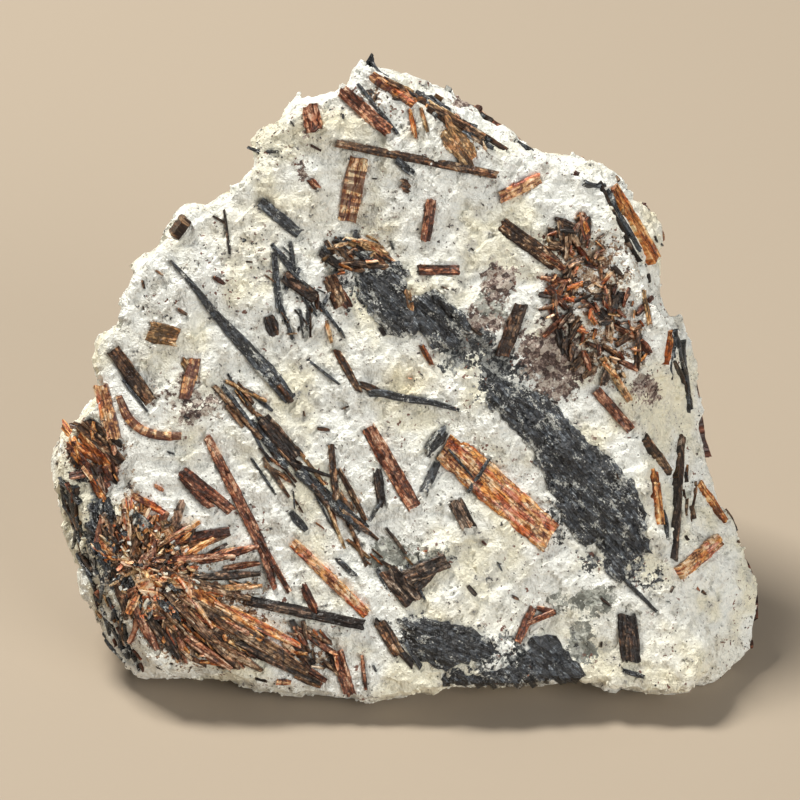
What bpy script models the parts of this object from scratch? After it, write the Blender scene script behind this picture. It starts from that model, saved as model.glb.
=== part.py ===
"""Astrophyllite specimen: a broken lump of white feldspar with bladed crystals set in its face.

The lump is modelled in a face frame, in millimetres: u to the right, v up along the broken
face and w out of it. One empty, "specimen", leans that frame back and stands it on the ground.
Every crystal is a solid of its own in a pocket of the feldspar, with a gap all round it.
"""
import math
import random

import bmesh
import bpy
from mathutils import Matrix, Vector, geometry, noise
from mathutils.bvhtree import BVHTree

MM = 0.001

# The view that the outline was read from: an 800 pixel frame, seen square to the face.
FRAME_CENTRE = 400
MM_PER_PIXEL = 0.12
EYE_DISTANCE = 600.0
FACE_LEAN = math.radians(32.0)

# The lump.
OUTLINE_STEPS = 80
GROUND_LEVEL = -34.0
FACE_GRID = 3.8
BACK_DEPTH = 41.0
PEAK_OF_BACK = Vector((1.0, -1.0, -BACK_DEPTH))
BACK_RINGS = ((-20.0, 0.97), (-30.0, 0.84), (-37.0, 0.60))
BACK_RING_WAVES = 1.7
BACK_RING_WAVES_PER_MM = 0.11
BACK_RING_SWELL = 0.07
BACK_RING_RISE = 2.2
FACE_RIM = 0.5
FACE_CLEARANCE = 0.965
FACE_HALF_WIDTH = 45.0
FACE_JITTER = 0.3
BACK_FACETS = (
    (Vector((17.0, 10.0, -31.0)), Vector((0.62, 0.30, -0.72))),
    (Vector((-17.0, 8.0, -29.0)), Vector((-0.60, 0.22, -0.77))),
    (Vector((0.0, 26.0, -28.7)), Vector((0.08, 0.80, -0.60))),
    (Vector((34.4, 0.0, -25.8)), Vector((0.80, 0.0, -0.60))),
)

# How far behind the face the silhouette lies: everywhere, then more to the right, left and top.
RIM_DEPTH = 3.5
RIM_DEPTH_RIGHT = 8.5
RIM_DEPTH_LEFT = 5.0
RIM_DEPTH_TOP = 4.0
RIM_TURN_RIGHT = math.radians(12.0)
RIM_TURN_TOP = math.radians(18.0)

# Relief of the face: height, waves a millimetre across and up, and which noise.
SWELL = (0.9, 0.055, 0.055, 3.1)
LEDGE = (0.45, 0.10, 0.12, 7.7)
LEDGE_STEPS = 2.6
LEDGE_SLANT = 0.05
GRAIN = (0.35, 0.32, 0.32, 1.9)

# The crystals.
GAP = 0.3
POCKET_REACH = 5.0
BLADE_DEPTH = 2.2
BLADE_PROUD = 0.45
SPRAY_DEPTH = 1.4
SPRAY_ROOT_CORNERS = 10
BRANCH_DEPTH_STEP = 0.11
BRANCH_RISE_STEP = 0.13
LONG_BLADE = 5.0
LONG_BLADE_STATIONS = (-0.5, -0.3, 0.2, 0.5)
SHORT_BLADE_STATIONS = (-0.5, 0.0, 0.5)
LEVELLED = 0.8
NORMAL_REACH = 0.7
MASS_DEPTH = 2.4
MASS_PROUD = 0.5
MASS_CHAMFER = 0.55
MASS_LEVELLED = 0.85
MASS_EDGE_SHARE = 0.3

# The silhouette and the edge of the broken face, clockwise from the top, in pixels of the view.
SILHOUETTE = (
    (365, 62), (415, 76), (455, 92), (490, 117), (510, 127), (533, 152), (581, 156), (608, 169),
    (626, 191), (648, 200), (660, 220), (664, 280), (673, 307), (692, 331), (699, 376), (704, 440),
    (717, 480), (736, 526), (751, 570), (762, 602), (755, 639), (744, 695), (731, 700), (700, 697),
    (651, 702), (625, 689), (585, 684), (546, 689), (470, 690), (422, 693), (396, 701), (370, 706),
    (327, 703), (281, 698), (245, 688), (210, 680), (147, 680), (126, 664), (103, 638), (85, 602),
    (79, 571), (63, 528), (53, 485), (51, 455), (62, 430), (86, 405), (98, 390), (93, 364),
    (99, 337), (117, 324), (128, 282), (148, 253), (163, 234), (184, 208), (204, 203), (215, 199),
    (232, 188), (252, 169), (256, 138), (289, 106), (324, 95), (353, 79), (354, 72),
)
FACE_EDGE = (
    (365, 66), (388, 80), (421, 108), (461, 130), (480, 140), (512, 156), (540, 160), (570, 172),
    (597, 184), (612, 208), (625, 240), (640, 285), (664, 330), (664, 364), (640, 402), (641, 453),
    (650, 512), (668, 550), (673, 575), (690, 620), (700, 660), (690, 688), (650, 690), (600, 680),
    (550, 680), (500, 684), (450, 684), (410, 694), (370, 698), (320, 692), (280, 686), (250, 676),
    (225, 665), (171, 666), (156, 659), (133, 630), (115, 605), (102, 584), (88, 530), (80, 505),
    (64, 480), (60, 455), (70, 432), (95, 405), (102, 385), (98, 365), (104, 345), (120, 328),
    (131, 284), (153, 254), (170, 235), (188, 212), (214, 206), (235, 190), (256, 170), (260, 140),
    (273, 129), (303, 104), (340, 93), (358, 72),
)

# Straight astrophyllite blades: name, centre (u, v), length, width, angle from +u, tip width.
ASTROPHYLLITE_BLADES = (
    ("copper_blade_large", (11.8, -11.0), 17.4, 3.4, -41.4, 0.75),
    ("brick_blade_centre", (-1.0, -8.1), 11.2, 1.8, -60.0, 0.7),
    ("thin_blade_top", (2.0, 28.9), 19.8, 1.0, -11.2, 0.8),
    ("banded_blade_top", (-5.6, 25.3), 8.0, 2.3, -101.0, 0.7),
    ("orange_blade_top", (-4.1, 34.6), 7.7, 1.6, -41.0, 0.5),
    ("rust_block_top", (-10.6, 33.8), 3.2, 2.0, -80.0, 0.7),
    ("red_block_top", (3.4, 21.6), 5.1, 1.25, -98.0, 0.8),
    ("copper_blade_top_right", (14.4, 25.4), 5.5, 1.4, 26.0, 0.7),
    ("brown_blade_top_right", (15.5, 18.6), 8.0, 1.8, -36.5, 0.7),
    ("brown_blade_upper_centre", (13.3, 8.4), 6.8, 1.7, -110.0, 0.7),
    ("amber_blade_right_edge", (27.8, 21.0), 9.6, 1.3, -61.0, 0.6),
    ("red_blade_right", (25.7, -1.2), 6.4, 1.2, -49.0, 0.5),
    ("gold_blade_right", (26.0, 2.6), 6.2, 0.9, -57.5, 0.6),
    ("brown_blade_side", (30.9, -6.6), 5.2, 1.2, -55.5, 0.5),
    ("orange_blade_side", (31.1, -12.4), 5.0, 1.2, -80.0, 0.6),
    ("grey_blade_side", (33.4, -11.8), 15.0, 0.95, -94.0, 0.7),
    ("amber_blade_side", (37.6, -12.2), 5.6, 1.0, -56.0, 0.5),
    ("copper_blade_lower_right", (35.8, -18.9), 6.4, 1.8, 40.0, 0.7),
    ("dark_red_block_lower_right", (27.5, -28.6), 5.8, 2.3, -84.0, 0.8),
    ("striped_block_centre", (7.4, -13.7), 3.4, 1.7, -62.0, 0.8),
    ("brown_block_upper_left", (-7.7, 13.0), 3.6, 1.8, -68.0, 0.8),
    ("copper_blade_lower_left", (-8.4, -21.5), 12.6, 1.3, -44.0, 0.6),
    ("dark_blade_lower_left", (-11.4, -25.6), 14.6, 1.3, -12.0, 0.4),
    ("rust_blade_low", (-6.8, -32.6), 5.0, 1.4, -74.0, 0.6),
    ("brown_blade_left", (-32.2, 2.9), 7.9, 1.7, -54.0, 0.6),
    ("orange_blade_left", (-34.9, -1.4), 6.8, 1.3, -75.0, 0.6),
    ("striped_blade_left", (-25.2, 2.6), 5.0, 1.4, -105.0, 0.8),
    ("golden_flake_left", (-28.4, 7.9), 3.9, 2.4, -12.0, 0.8),
    ("brown_block_left_edge", (-26.3, 20.6), 2.6, 1.8, 54.0, 0.8),
    ("tan_blade_ridge", (-0.9, 37.2), 6.4, 1.2, -35.0, 0.5),
    ("brown_blade_ridge", (6.6, 33.2), 7.4, 1.2, -29.0, 0.5),
    ("brown_blade_mid_top", (4.7, 15.4), 4.9, 1.2, 0.0, 0.8),
    ("red_blade_mid_left", (-23.3, -11.1), 7.8, 1.1, -39.0, 0.5),
    ("dark_red_blade_left", (-24.8, -16.4), 8.8, 1.15, 9.0, 0.6),
    ("brown_blade_far_left", (-35.8, -5.1), 6.8, 1.4, -42.0, 0.5),
    ("brown_lens_low", (-1.2, -28.6), 4.6, 1.5, -59.0, 0.4),
    ("dark_core_blade_centre", (-14.5, -4.6), 6.3, 1.8, -50.0, 0.4),
    ("brown_blade_upper_left", (-12.1, 13.6), 4.6, 1.6, -35.0, 0.5),
)

# Straight aegirine blades, in the same form.
AEGIRINE_BLADES = (
    ("black_blade_centre_left", (-8.3, -12.0), 10.6, 1.4, -41.5, 0.4),
    ("black_blade_upper_left", (-14.3, 22.0), 6.1, 1.0, -40.0, 0.4),
)

# Curved and forked crystals: name, mineral, then runs of (u, v, width) points.
CURVED_CRYSTALS = (
    ("black_blade_long", "aegirine", (
        ((-27.7, 17.0, 0.3), (-24.8, 13.7, 0.7), (-22.1, 10.2, 1.1), (-18.6, 6.4, 1.6),
         (-15.4, 2.9, 1.9), (-13.0, -0.2, 1.5)),)),
    ("black_band_centre", "aegirine", (
        ((-4.0, 0.7, 0.8), (-2.2, 0.9, 1.0), (0.4, 0.2, 0.9), (3.6, -0.2, 0.7), (7.4, -1.3, 0.5)),)),
    ("black_streak_side", "aegirine", (
        ((32.9, 8.9, 0.6), (34.4, 2.8, 0.9), (34.9, -1.4, 0.6)),)),
    ("gold_band_left", "astrophyllite", (
        ((-33.9, 0.8, 0.7), (-32.6, -2.4, 1.1), (-30.6, -3.9, 1.1), (-28.2, -4.4, 1.1),
         (-25.9, -4.3, 0.9)),)),
    ("forked_blade_centre_left", "astrophyllite", (
        ((-23.3, -4.1, 1.0), (-19.9, -10.9, 1.4), (-16.5, -17.7, 1.4), (-14.9, -23.0, 0.6)),
        ((-17.0, -16.6, 0.9), (-13.2, -23.1, 0.6)))),
    ("forked_blade_low", "astrophyllite", (
        ((16.2, -24.6, 0.9), (15.0, -27.0, 1.0), (14.0, -29.4, 0.8)),
        ((15.2, -26.8, 0.8), (18.6, -25.4, 0.8)))),
    ("dark_blades_low_centre", "astrophyllite", (
        ((-1.6, -20.4, 2.2), (1.7, -24.3, 2.2)),
        ((0.6, -21.4, 1.8), (5.8, -19.2, 1.8)))),
)

# Broad aegirine masses: name and outline (u, v).
AEGIRINE_MASSES = (
    ("black_mass_upper", (
        (-5.8, 15.4), (-3.4, 16.1), (-0.2, 16.6), (1.0, 15.0), (0.8, 12.2), (2.2, 12.7), (4.1, 13.3),
        (6.1, 11.8), (8.3, 9.6), (8.5, 8.4), (6.8, 7.0), (5.8, 6.0), (4.1, 6.2), (2.4, 8.0),
        (0.0, 7.4), (-1.8, 8.4), (-3.4, 9.8), (-4.8, 12.0))),
    ("black_mass_centre", (
        (10.4, 1.9), (12.0, 2.6), (14.4, 2.0), (17.4, 0.7), (19.4, -1.2), (22.9, -5.0), (26.6, -8.2),
        (28.2, -9.7), (28.9, -11.6), (29.3, -13.7), (29.7, -16.4), (30.4, -18.2), (28.8, -18.4),
        (27.6, -19.9), (26.6, -21.8), (25.3, -21.2), (24.4, -19.4), (23.8, -16.9), (22.2, -17.8),
        (20.8, -16.2), (19.3, -13.9), (17.7, -10.8), (16.7, -8.3), (16.0, -6.1), (14.4, -4.8),
        (13.0, -2.6), (10.4, -0.6))),
    ("black_mass_low", (
        (-0.4, -26.2), (3.0, -26.2), (5.3, -26.6), (8.0, -27.2), (10.2, -28.4), (12.1, -30.3),
        (8.3, -31.8), (5.6, -32.4), (2.2, -31.4), (0.8, -27.8))),
    ("black_mass_base", (
        (15.8, -28.6), (17.2, -28.0), (18.6, -28.4), (19.4, -29.8), (21.6, -31.6), (22.0, -32.6),
        (19.2, -33.2), (14.4, -33.4), (10.6, -33.2), (10.6, -32.4), (14.6, -31.8))),
    ("black_mass_left", (
        (-37.2, -12.4), (-36.0, -11.8), (-35.0, -13.4), (-35.2, -15.6), (-34.8, -18.0),
        (-34.2, -19.8), (-35.2, -20.4), (-36.8, -17.6), (-37.6, -15.0))),
)

# Fans of blades grown together: name, root (u, v), root size and runs of (u, v, width) points.
SPRAYS = (
    ("astrophyllite_spray_left", (-28.4, -21.8), (3.4, 2.6), (
        ((-29.4, -20.6, 1.6), (-23.0, -25.0, 1.7), (-16.8, -28.8, 0.8)),
        ((-29.6, -22.0, 1.4), (-24.0, -27.4, 1.4), (-19.4, -31.6, 0.7)),
        ((-28.0, -22.6, 1.6), (-19.0, -28.8, 1.9), (-11.4, -32.6, 0.9)),
        ((-30.0, -20.2, 1.2), (-26.0, -19.4, 1.1), (-20.2, -19.3, 0.6)),
        ((-29.6, -20.8, 1.3), (-25.0, -21.9, 1.2), (-20.4, -23.0, 0.6)),
        ((-30.0, -22.0, 1.4), (-28.4, -26.4, 1.3), (-26.0, -30.0, 0.7)),
        ((-27.0, -23.0, 1.2), (-22.6, -29.6, 1.2), (-16.0, -33.0, 0.7)),
        ((-28.0, -21.6, 1.2), (-32.0, -19.6, 1.2), (-32.8, -16.6, 0.6)))),
    ("astrophyllite_spray_right", (21.8, 15.9), (2.0, 2.0), (
        ((21.8, 14.8, 1.4), (19.9, 18.6, 1.3), (18.4, 21.6, 0.6)),
        ((21.0, 15.4, 1.4), (23.2, 18.6, 1.2), (24.4, 20.6, 0.6)),
        ((20.8, 16.2, 1.4), (24.2, 16.0, 1.4), (27.2, 15.4, 0.7)),
        ((21.0, 17.0, 1.5), (23.6, 13.0, 1.5), (25.8, 9.8, 0.7)),
        ((22.2, 16.8, 1.4), (21.0, 13.0, 1.3), (20.6, 9.6, 0.6)),
        ((22.4, 16.4, 1.4), (19.4, 13.8, 1.3), (17.6, 12.2, 0.7)))),
)

# Crystals that show on the sides which the view doesn't reach: name, mineral, eye direction in
# the face frame, then centre across and up that view, length, width and angle.
HIDDEN_SIDES = {
    "back": (Vector((0.0, 0.35, -1.0)), Vector((0.0, 1.0, 0.0))),
    "right": (Vector((1.0, 0.0, -0.45)), Vector((0.0, 1.0, 0.0))),
    "left": (Vector((-1.0, 0.0, -0.45)), Vector((0.0, 1.0, 0.0))),
}
HIDDEN_STATIONS = (-0.5, -0.2, 0.2, 0.5)
HIDDEN_TIP = 0.6
HIDDEN_CRYSTALS = (
    ("copper_blade_back", "astrophyllite", "back", (-6.0, 5.0), 11.0, 1.9, 38.0),
    ("black_blade_back", "aegirine", "back", (9.0, -3.0), 13.0, 2.2, -48.0),
    ("brown_blade_right_back", "astrophyllite", "right", (6.0, 0.0), 9.0, 1.6, 64.0),
    ("black_blade_left_back", "aegirine", "left", (-3.0, 4.0), 10.0, 1.6, -58.0),
)

COLOURS = {
    "feldspar": (0.80, 0.78, 0.68, 1.0),
    "astrophyllite": (0.30, 0.12, 0.045, 1.0),
    "aegirine": (0.035, 0.037, 0.045, 1.0),
}
ROUGHNESS = {"feldspar": 0.75, "astrophyllite": 0.35, "aegirine": 0.45}


def clear_scene():
    """Remove whatever the file started with."""
    for item in list(bpy.data.objects):
        bpy.data.objects.remove(item, do_unlink=True)


def make_material(mineral):
    """A plain finish in the mineral's colour."""
    material = bpy.data.materials.new(mineral)
    material.use_nodes = True
    shader = material.node_tree.nodes["Principled BSDF"]
    shader.inputs["Base Color"].default_value = COLOURS[mineral]
    shader.inputs["Roughness"].default_value = ROUGHNESS[mineral]
    material.diffuse_color = COLOURS[mineral]
    return material


def on_face(pixel):
    """A pixel of the view as (u, v) on the face plane."""
    return Vector(((pixel[0] - FRAME_CENTRE) * MM_PER_PIXEL, (FRAME_CENTRE - pixel[1]) * MM_PER_PIXEL))


def away(uv, depth):
    """The point at a depth w that the eye sees at (u, v) on the face plane."""
    spread = 1.0 - depth / EYE_DISTANCE
    return Vector((uv[0] * spread, uv[1] * spread, depth))


def reach(outline, angle):
    """How far a star-shaped outline lies from the centre in one direction."""
    heading = Vector((math.cos(angle), math.sin(angle)))
    best = 0.0
    for start, end in zip(outline, outline[1:] + outline[:1]):
        edge = end - start
        cross = heading.x * edge.y - heading.y * edge.x
        if abs(cross) < 1e-9:
            continue
        along = (start.x * edge.y - start.y * edge.x) / cross
        part = (start.x * heading.y - start.y * heading.x) / cross
        if along > 0.0 and -1e-6 <= part <= 1.0 + 1e-6:
            best = max(best, along)
    return best


def rim_depth(angle):
    """How far behind the face the silhouette lies, round the lump."""
    right = max(0.0, math.cos(angle + RIM_TURN_RIGHT)) ** 2
    left = max(0.0, -math.cos(angle)) ** 2
    top = max(0.0, math.sin(angle - RIM_TURN_TOP)) ** 2
    return -(RIM_DEPTH + RIM_DEPTH_RIGHT * right + RIM_DEPTH_LEFT * left + RIM_DEPTH_TOP * top)


def face_relief(u, v):
    """Height of the broken face: long swells, then small ledges."""
    height, across, up, which = SWELL
    swell = height * noise.noise(Vector((u * across, v * up, which)))
    height, across, up, which = LEDGE
    step = math.floor(LEDGE_STEPS * noise.noise(Vector((u * across + v * LEDGE_SLANT, v * up, which))))
    ledge = height * step
    height, across, up, which = GRAIN
    return swell + ledge + height * noise.noise(Vector((u * across, v * up, which)))


def inside(outline, point):
    """Whether a point lies in an outline."""
    crossings = 0
    for start, end in zip(outline, outline[1:] + outline[:1]):
        if (start.y > point.y) != (end.y > point.y):
            at = start.x + (point.y - start.y) / (end.y - start.y) * (end.x - start.x)
            crossings += at > point.x
    return crossings % 2 == 1


def face_points(edge, rng):
    """Jittered points on the broken face, clear of its edge."""
    points = []
    shrunk = [point * FACE_CLEARANCE for point in edge]
    rows = int(2.0 * FACE_HALF_WIDTH / FACE_GRID)
    for row in range(rows):
        for column in range(rows):
            across = column + 0.5 * (row % 2) + rng.uniform(-FACE_JITTER, FACE_JITTER)
            up = row + rng.uniform(-FACE_JITTER, FACE_JITTER)
            spot = Vector((FACE_GRID * across - FACE_HALF_WIDTH, FACE_GRID * up - FACE_HALF_WIDTH))
            if inside(shrunk, spot):
                points.append(spot)
    return points


def back_ring(silhouette, depth, size, angles):
    """One ring of the back, roughened as broken rock."""
    ring = []
    for angle, radius in zip(angles, silhouette):
        heading = Vector((math.cos(angle), math.sin(angle)))
        waves = heading * BACK_RING_WAVES
        lump = noise.noise(Vector((waves.x, waves.y, depth * BACK_RING_WAVES_PER_MM)))
        spread = radius * size * (1.0 + BACK_RING_SWELL * lump)
        ring.append(Vector((heading.x * spread, heading.y * spread, depth + BACK_RING_RISE * lump)))
    return ring


def lump_mesh(rng):
    """The feldspar before its pockets: face, rim and back lofted round the outline."""
    silhouette = [on_face(pixel) for pixel in SILHOUETTE]
    face_edge = [on_face(pixel) for pixel in FACE_EDGE]
    angles = [math.tau * step / OUTLINE_STEPS for step in range(OUTLINE_STEPS)]
    outer = [reach(silhouette, angle) for angle in angles]
    inner = [min(reach(face_edge, angle), far - FACE_RIM) for angle, far in zip(angles, outer)]
    edge = [Vector((math.cos(a), math.sin(a))) * radius for a, radius in zip(angles, inner)]

    bm = bmesh.new()
    spots = edge + face_points(edge, rng)
    joints = [(i, (i + 1) % OUTLINE_STEPS) for i in range(OUTLINE_STEPS)]
    flat, _, triangles, _, _, _ = geometry.delaunay_2d_cdt(spots, joints, [], 1, 1e-5)
    face = [bm.verts.new((p.x, p.y, face_relief(p.x, p.y))) for p in flat]
    for triangle in triangles:
        bm.faces.new([face[i] for i in triangle])

    rings = [face[:OUTLINE_STEPS]]
    rims = [away(Vector((math.cos(a), math.sin(a))) * r, rim_depth(a)) for a, r in zip(angles, outer)]
    for ring in [rims] + [back_ring(outer, depth, size, angles) for depth, size in BACK_RINGS]:
        rings.append([bm.verts.new(point) for point in ring])
    for near, far in zip(rings, rings[1:]):
        for i in range(OUTLINE_STEPS):
            j = (i + 1) % OUTLINE_STEPS
            bm.faces.new((near[j], near[i], far[i], far[j]))
    peak = bm.verts.new(PEAK_OF_BACK)
    for i in range(OUTLINE_STEPS):
        bm.faces.new((rings[-1][(i + 1) % OUTLINE_STEPS], rings[-1][i], peak))
    bmesh.ops.triangulate(bm, faces=bm.faces[:])

    upward = Vector((0.0, math.cos(FACE_LEAN), math.sin(FACE_LEAN)))
    cut_flat(bm, upward * GROUND_LEVEL, -upward)
    for point, normal in BACK_FACETS:
        cut_flat(bm, point, normal)
    bmesh.ops.triangulate(bm, faces=bm.faces[:])
    bmesh.ops.recalc_face_normals(bm, faces=bm.faces[:])
    return bm


def cut_flat(bm, point, normal):
    """Break the lump off along a plane and close the cut."""
    geometry_in = bm.verts[:] + bm.edges[:] + bm.faces[:]
    cut = bmesh.ops.bisect_plane(bm, geom=geometry_in, plane_co=point, plane_no=normal, clear_outer=True)
    edges = [item for item in cut["geom_cut"] if isinstance(item, bmesh.types.BMEdge)]
    bmesh.ops.holes_fill(bm, edges=edges, sides=0)


def surface_point(tree, uv):
    """Where the eye sees (u, v) on the lump, and the direction in which the surface faces."""
    eye = Vector((0.0, 0.0, EYE_DISTANCE))
    toward = Vector((uv[0], uv[1], 0.0)) - eye
    place, normal, _, _ = tree.ray_cast(eye, toward.normalized())
    if place is None:
        place, normal, _, _ = tree.find_nearest(Vector((uv[0], uv[1], 0.0)))
    return place, normal


def mean_normal(tree, spots):
    """The direction in which the surface faces on the average of some spots."""
    total = Vector()
    for uv in spots:
        for right, up in ((0, 0), (1, 0), (-1, 0), (0, 1), (0, -1)):
            total += surface_point(tree, (uv[0] + right * NORMAL_REACH, uv[1] + up * NORMAL_REACH))[1]
    return total.normalized()


def blade_sections(points, widths, normal, depth, proud, rng):
    """Sections of a blade, with a stepped cleavage top and a wedge below the surface."""
    sections = []
    for i, (place, width) in enumerate(zip(points, widths)):
        before = points[max(i - 1, 0)]
        after = points[min(i + 1, len(points) - 1)]
        along = (after - before).normalized()
        side = normal.cross(along).normalized()
        half = width / 2.0
        high = proud * rng.uniform(0.75, 1.0)
        low = proud * rng.uniform(0.35, 0.7)
        profile = ((-0.6 * half, -depth), (0.6 * half, -depth), (half, low), (0.1 * half, low),
                   (-0.1 * half, high), (-half, high * 0.8))
        sections.append([place + side * across + normal * up for across, up in profile])
    return sections


def pocket_sections(points, widths, normal, depth):
    """Sections of the pocket round a blade, open above the surface."""
    sections = []
    for i, (place, width) in enumerate(zip(points, widths)):
        along = (points[min(i + 1, len(points) - 1)] - points[max(i - 1, 0)]).normalized()
        side = normal.cross(along).normalized()
        half = width / 2.0 + GAP
        if i == 0:
            place = place - along * GAP
        if i == len(points) - 1:
            place = place + along * GAP
        profile = ((-half, -depth - GAP), (half, -depth - GAP), (half, POCKET_REACH), (-half, POCKET_REACH))
        sections.append([place + side * across + normal * up for across, up in profile])
    return sections


def loft(bm, sections):
    """Join sections into one closed solid."""
    rings = [[bm.verts.new(point) for point in section] for section in sections]
    count = len(rings[0])
    faces = []
    for near, far in zip(rings, rings[1:]):
        for i in range(count):
            j = (i + 1) % count
            faces.append(bm.faces.new((near[i], near[j], far[j], far[i])))
    faces.append(bm.faces.new(rings[0][::-1]))
    faces.append(bm.faces.new(rings[-1]))
    bmesh.ops.triangulate(bm, faces=faces)


def prism(bm, outline, low, high, chamfer, normal):
    """A closed prism on an outline of points, its top edge chamfered."""
    centre = sum(outline, Vector()) / len(outline)
    levels = [[point + normal * low for point in outline]]
    if chamfer > 0.0:
        levels.append([point + normal * (high * MASS_EDGE_SHARE) for point in outline])
        levels.append([
            point.lerp(centre, min(chamfer / (point - centre).length, MASS_EDGE_SHARE)) + normal * high
            for point in outline])
    else:
        levels.append([point + normal * high for point in outline])
    loft(bm, levels)


def blade_path(centre, length, width, angle, tip):
    """Points and widths along a straight blade, on the surface as the eye sees them."""
    heading = Vector((math.cos(math.radians(angle)), math.sin(math.radians(angle))))
    if length > LONG_BLADE:
        stations = LONG_BLADE_STATIONS
        shares = (tip, 1.0, 0.95, tip)
    else:
        stations = SHORT_BLADE_STATIONS
        shares = (tip, 1.0, tip)
    spots = [Vector(centre) + heading * length * station for station in stations]
    return spots, [width * share for share in shares]


def settle(tree, spots, normal):
    """Places for the points of a blade, nearly in line, and its normal square to that line."""
    places = [surface_point(tree, uv)[0] for uv in spots]
    start = places[0]
    chord = (places[-1] - start).normalized()
    normal = (normal - chord * normal.dot(chord)).normalized()
    settled = []
    for place in places:
        height = (place - start).dot(normal)
        settled.append(place - normal * height * LEVELLED)
    return settled, normal


def add_object(name, bm, material, collection, parent, helper=False):
    """A named object from a mesh in millimetres, held by the specimen's empty."""
    bmesh.ops.scale(bm, vec=(MM, MM, MM), verts=bm.verts[:])
    bmesh.ops.recalc_face_normals(bm, faces=bm.faces[:])
    mesh = bpy.data.meshes.new(name)
    bm.to_mesh(mesh)
    bm.free()
    item = bpy.data.objects.new(name, mesh)
    collection.objects.link(item)
    item.parent = parent
    if material is not None:
        mesh.materials.append(material)
    if helper:
        item.hide_render = True
        item.display_type = "WIRE"
    return item


def boolean(item, cutter, operation, overlaps):
    """Cut an object with a helper, or join the helper to it."""
    modifier = item.modifiers.new(operation.lower(), "BOOLEAN")
    modifier.operation = operation
    modifier.object = cutter
    modifier.solver = "EXACT"
    modifier.use_self = overlaps


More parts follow.
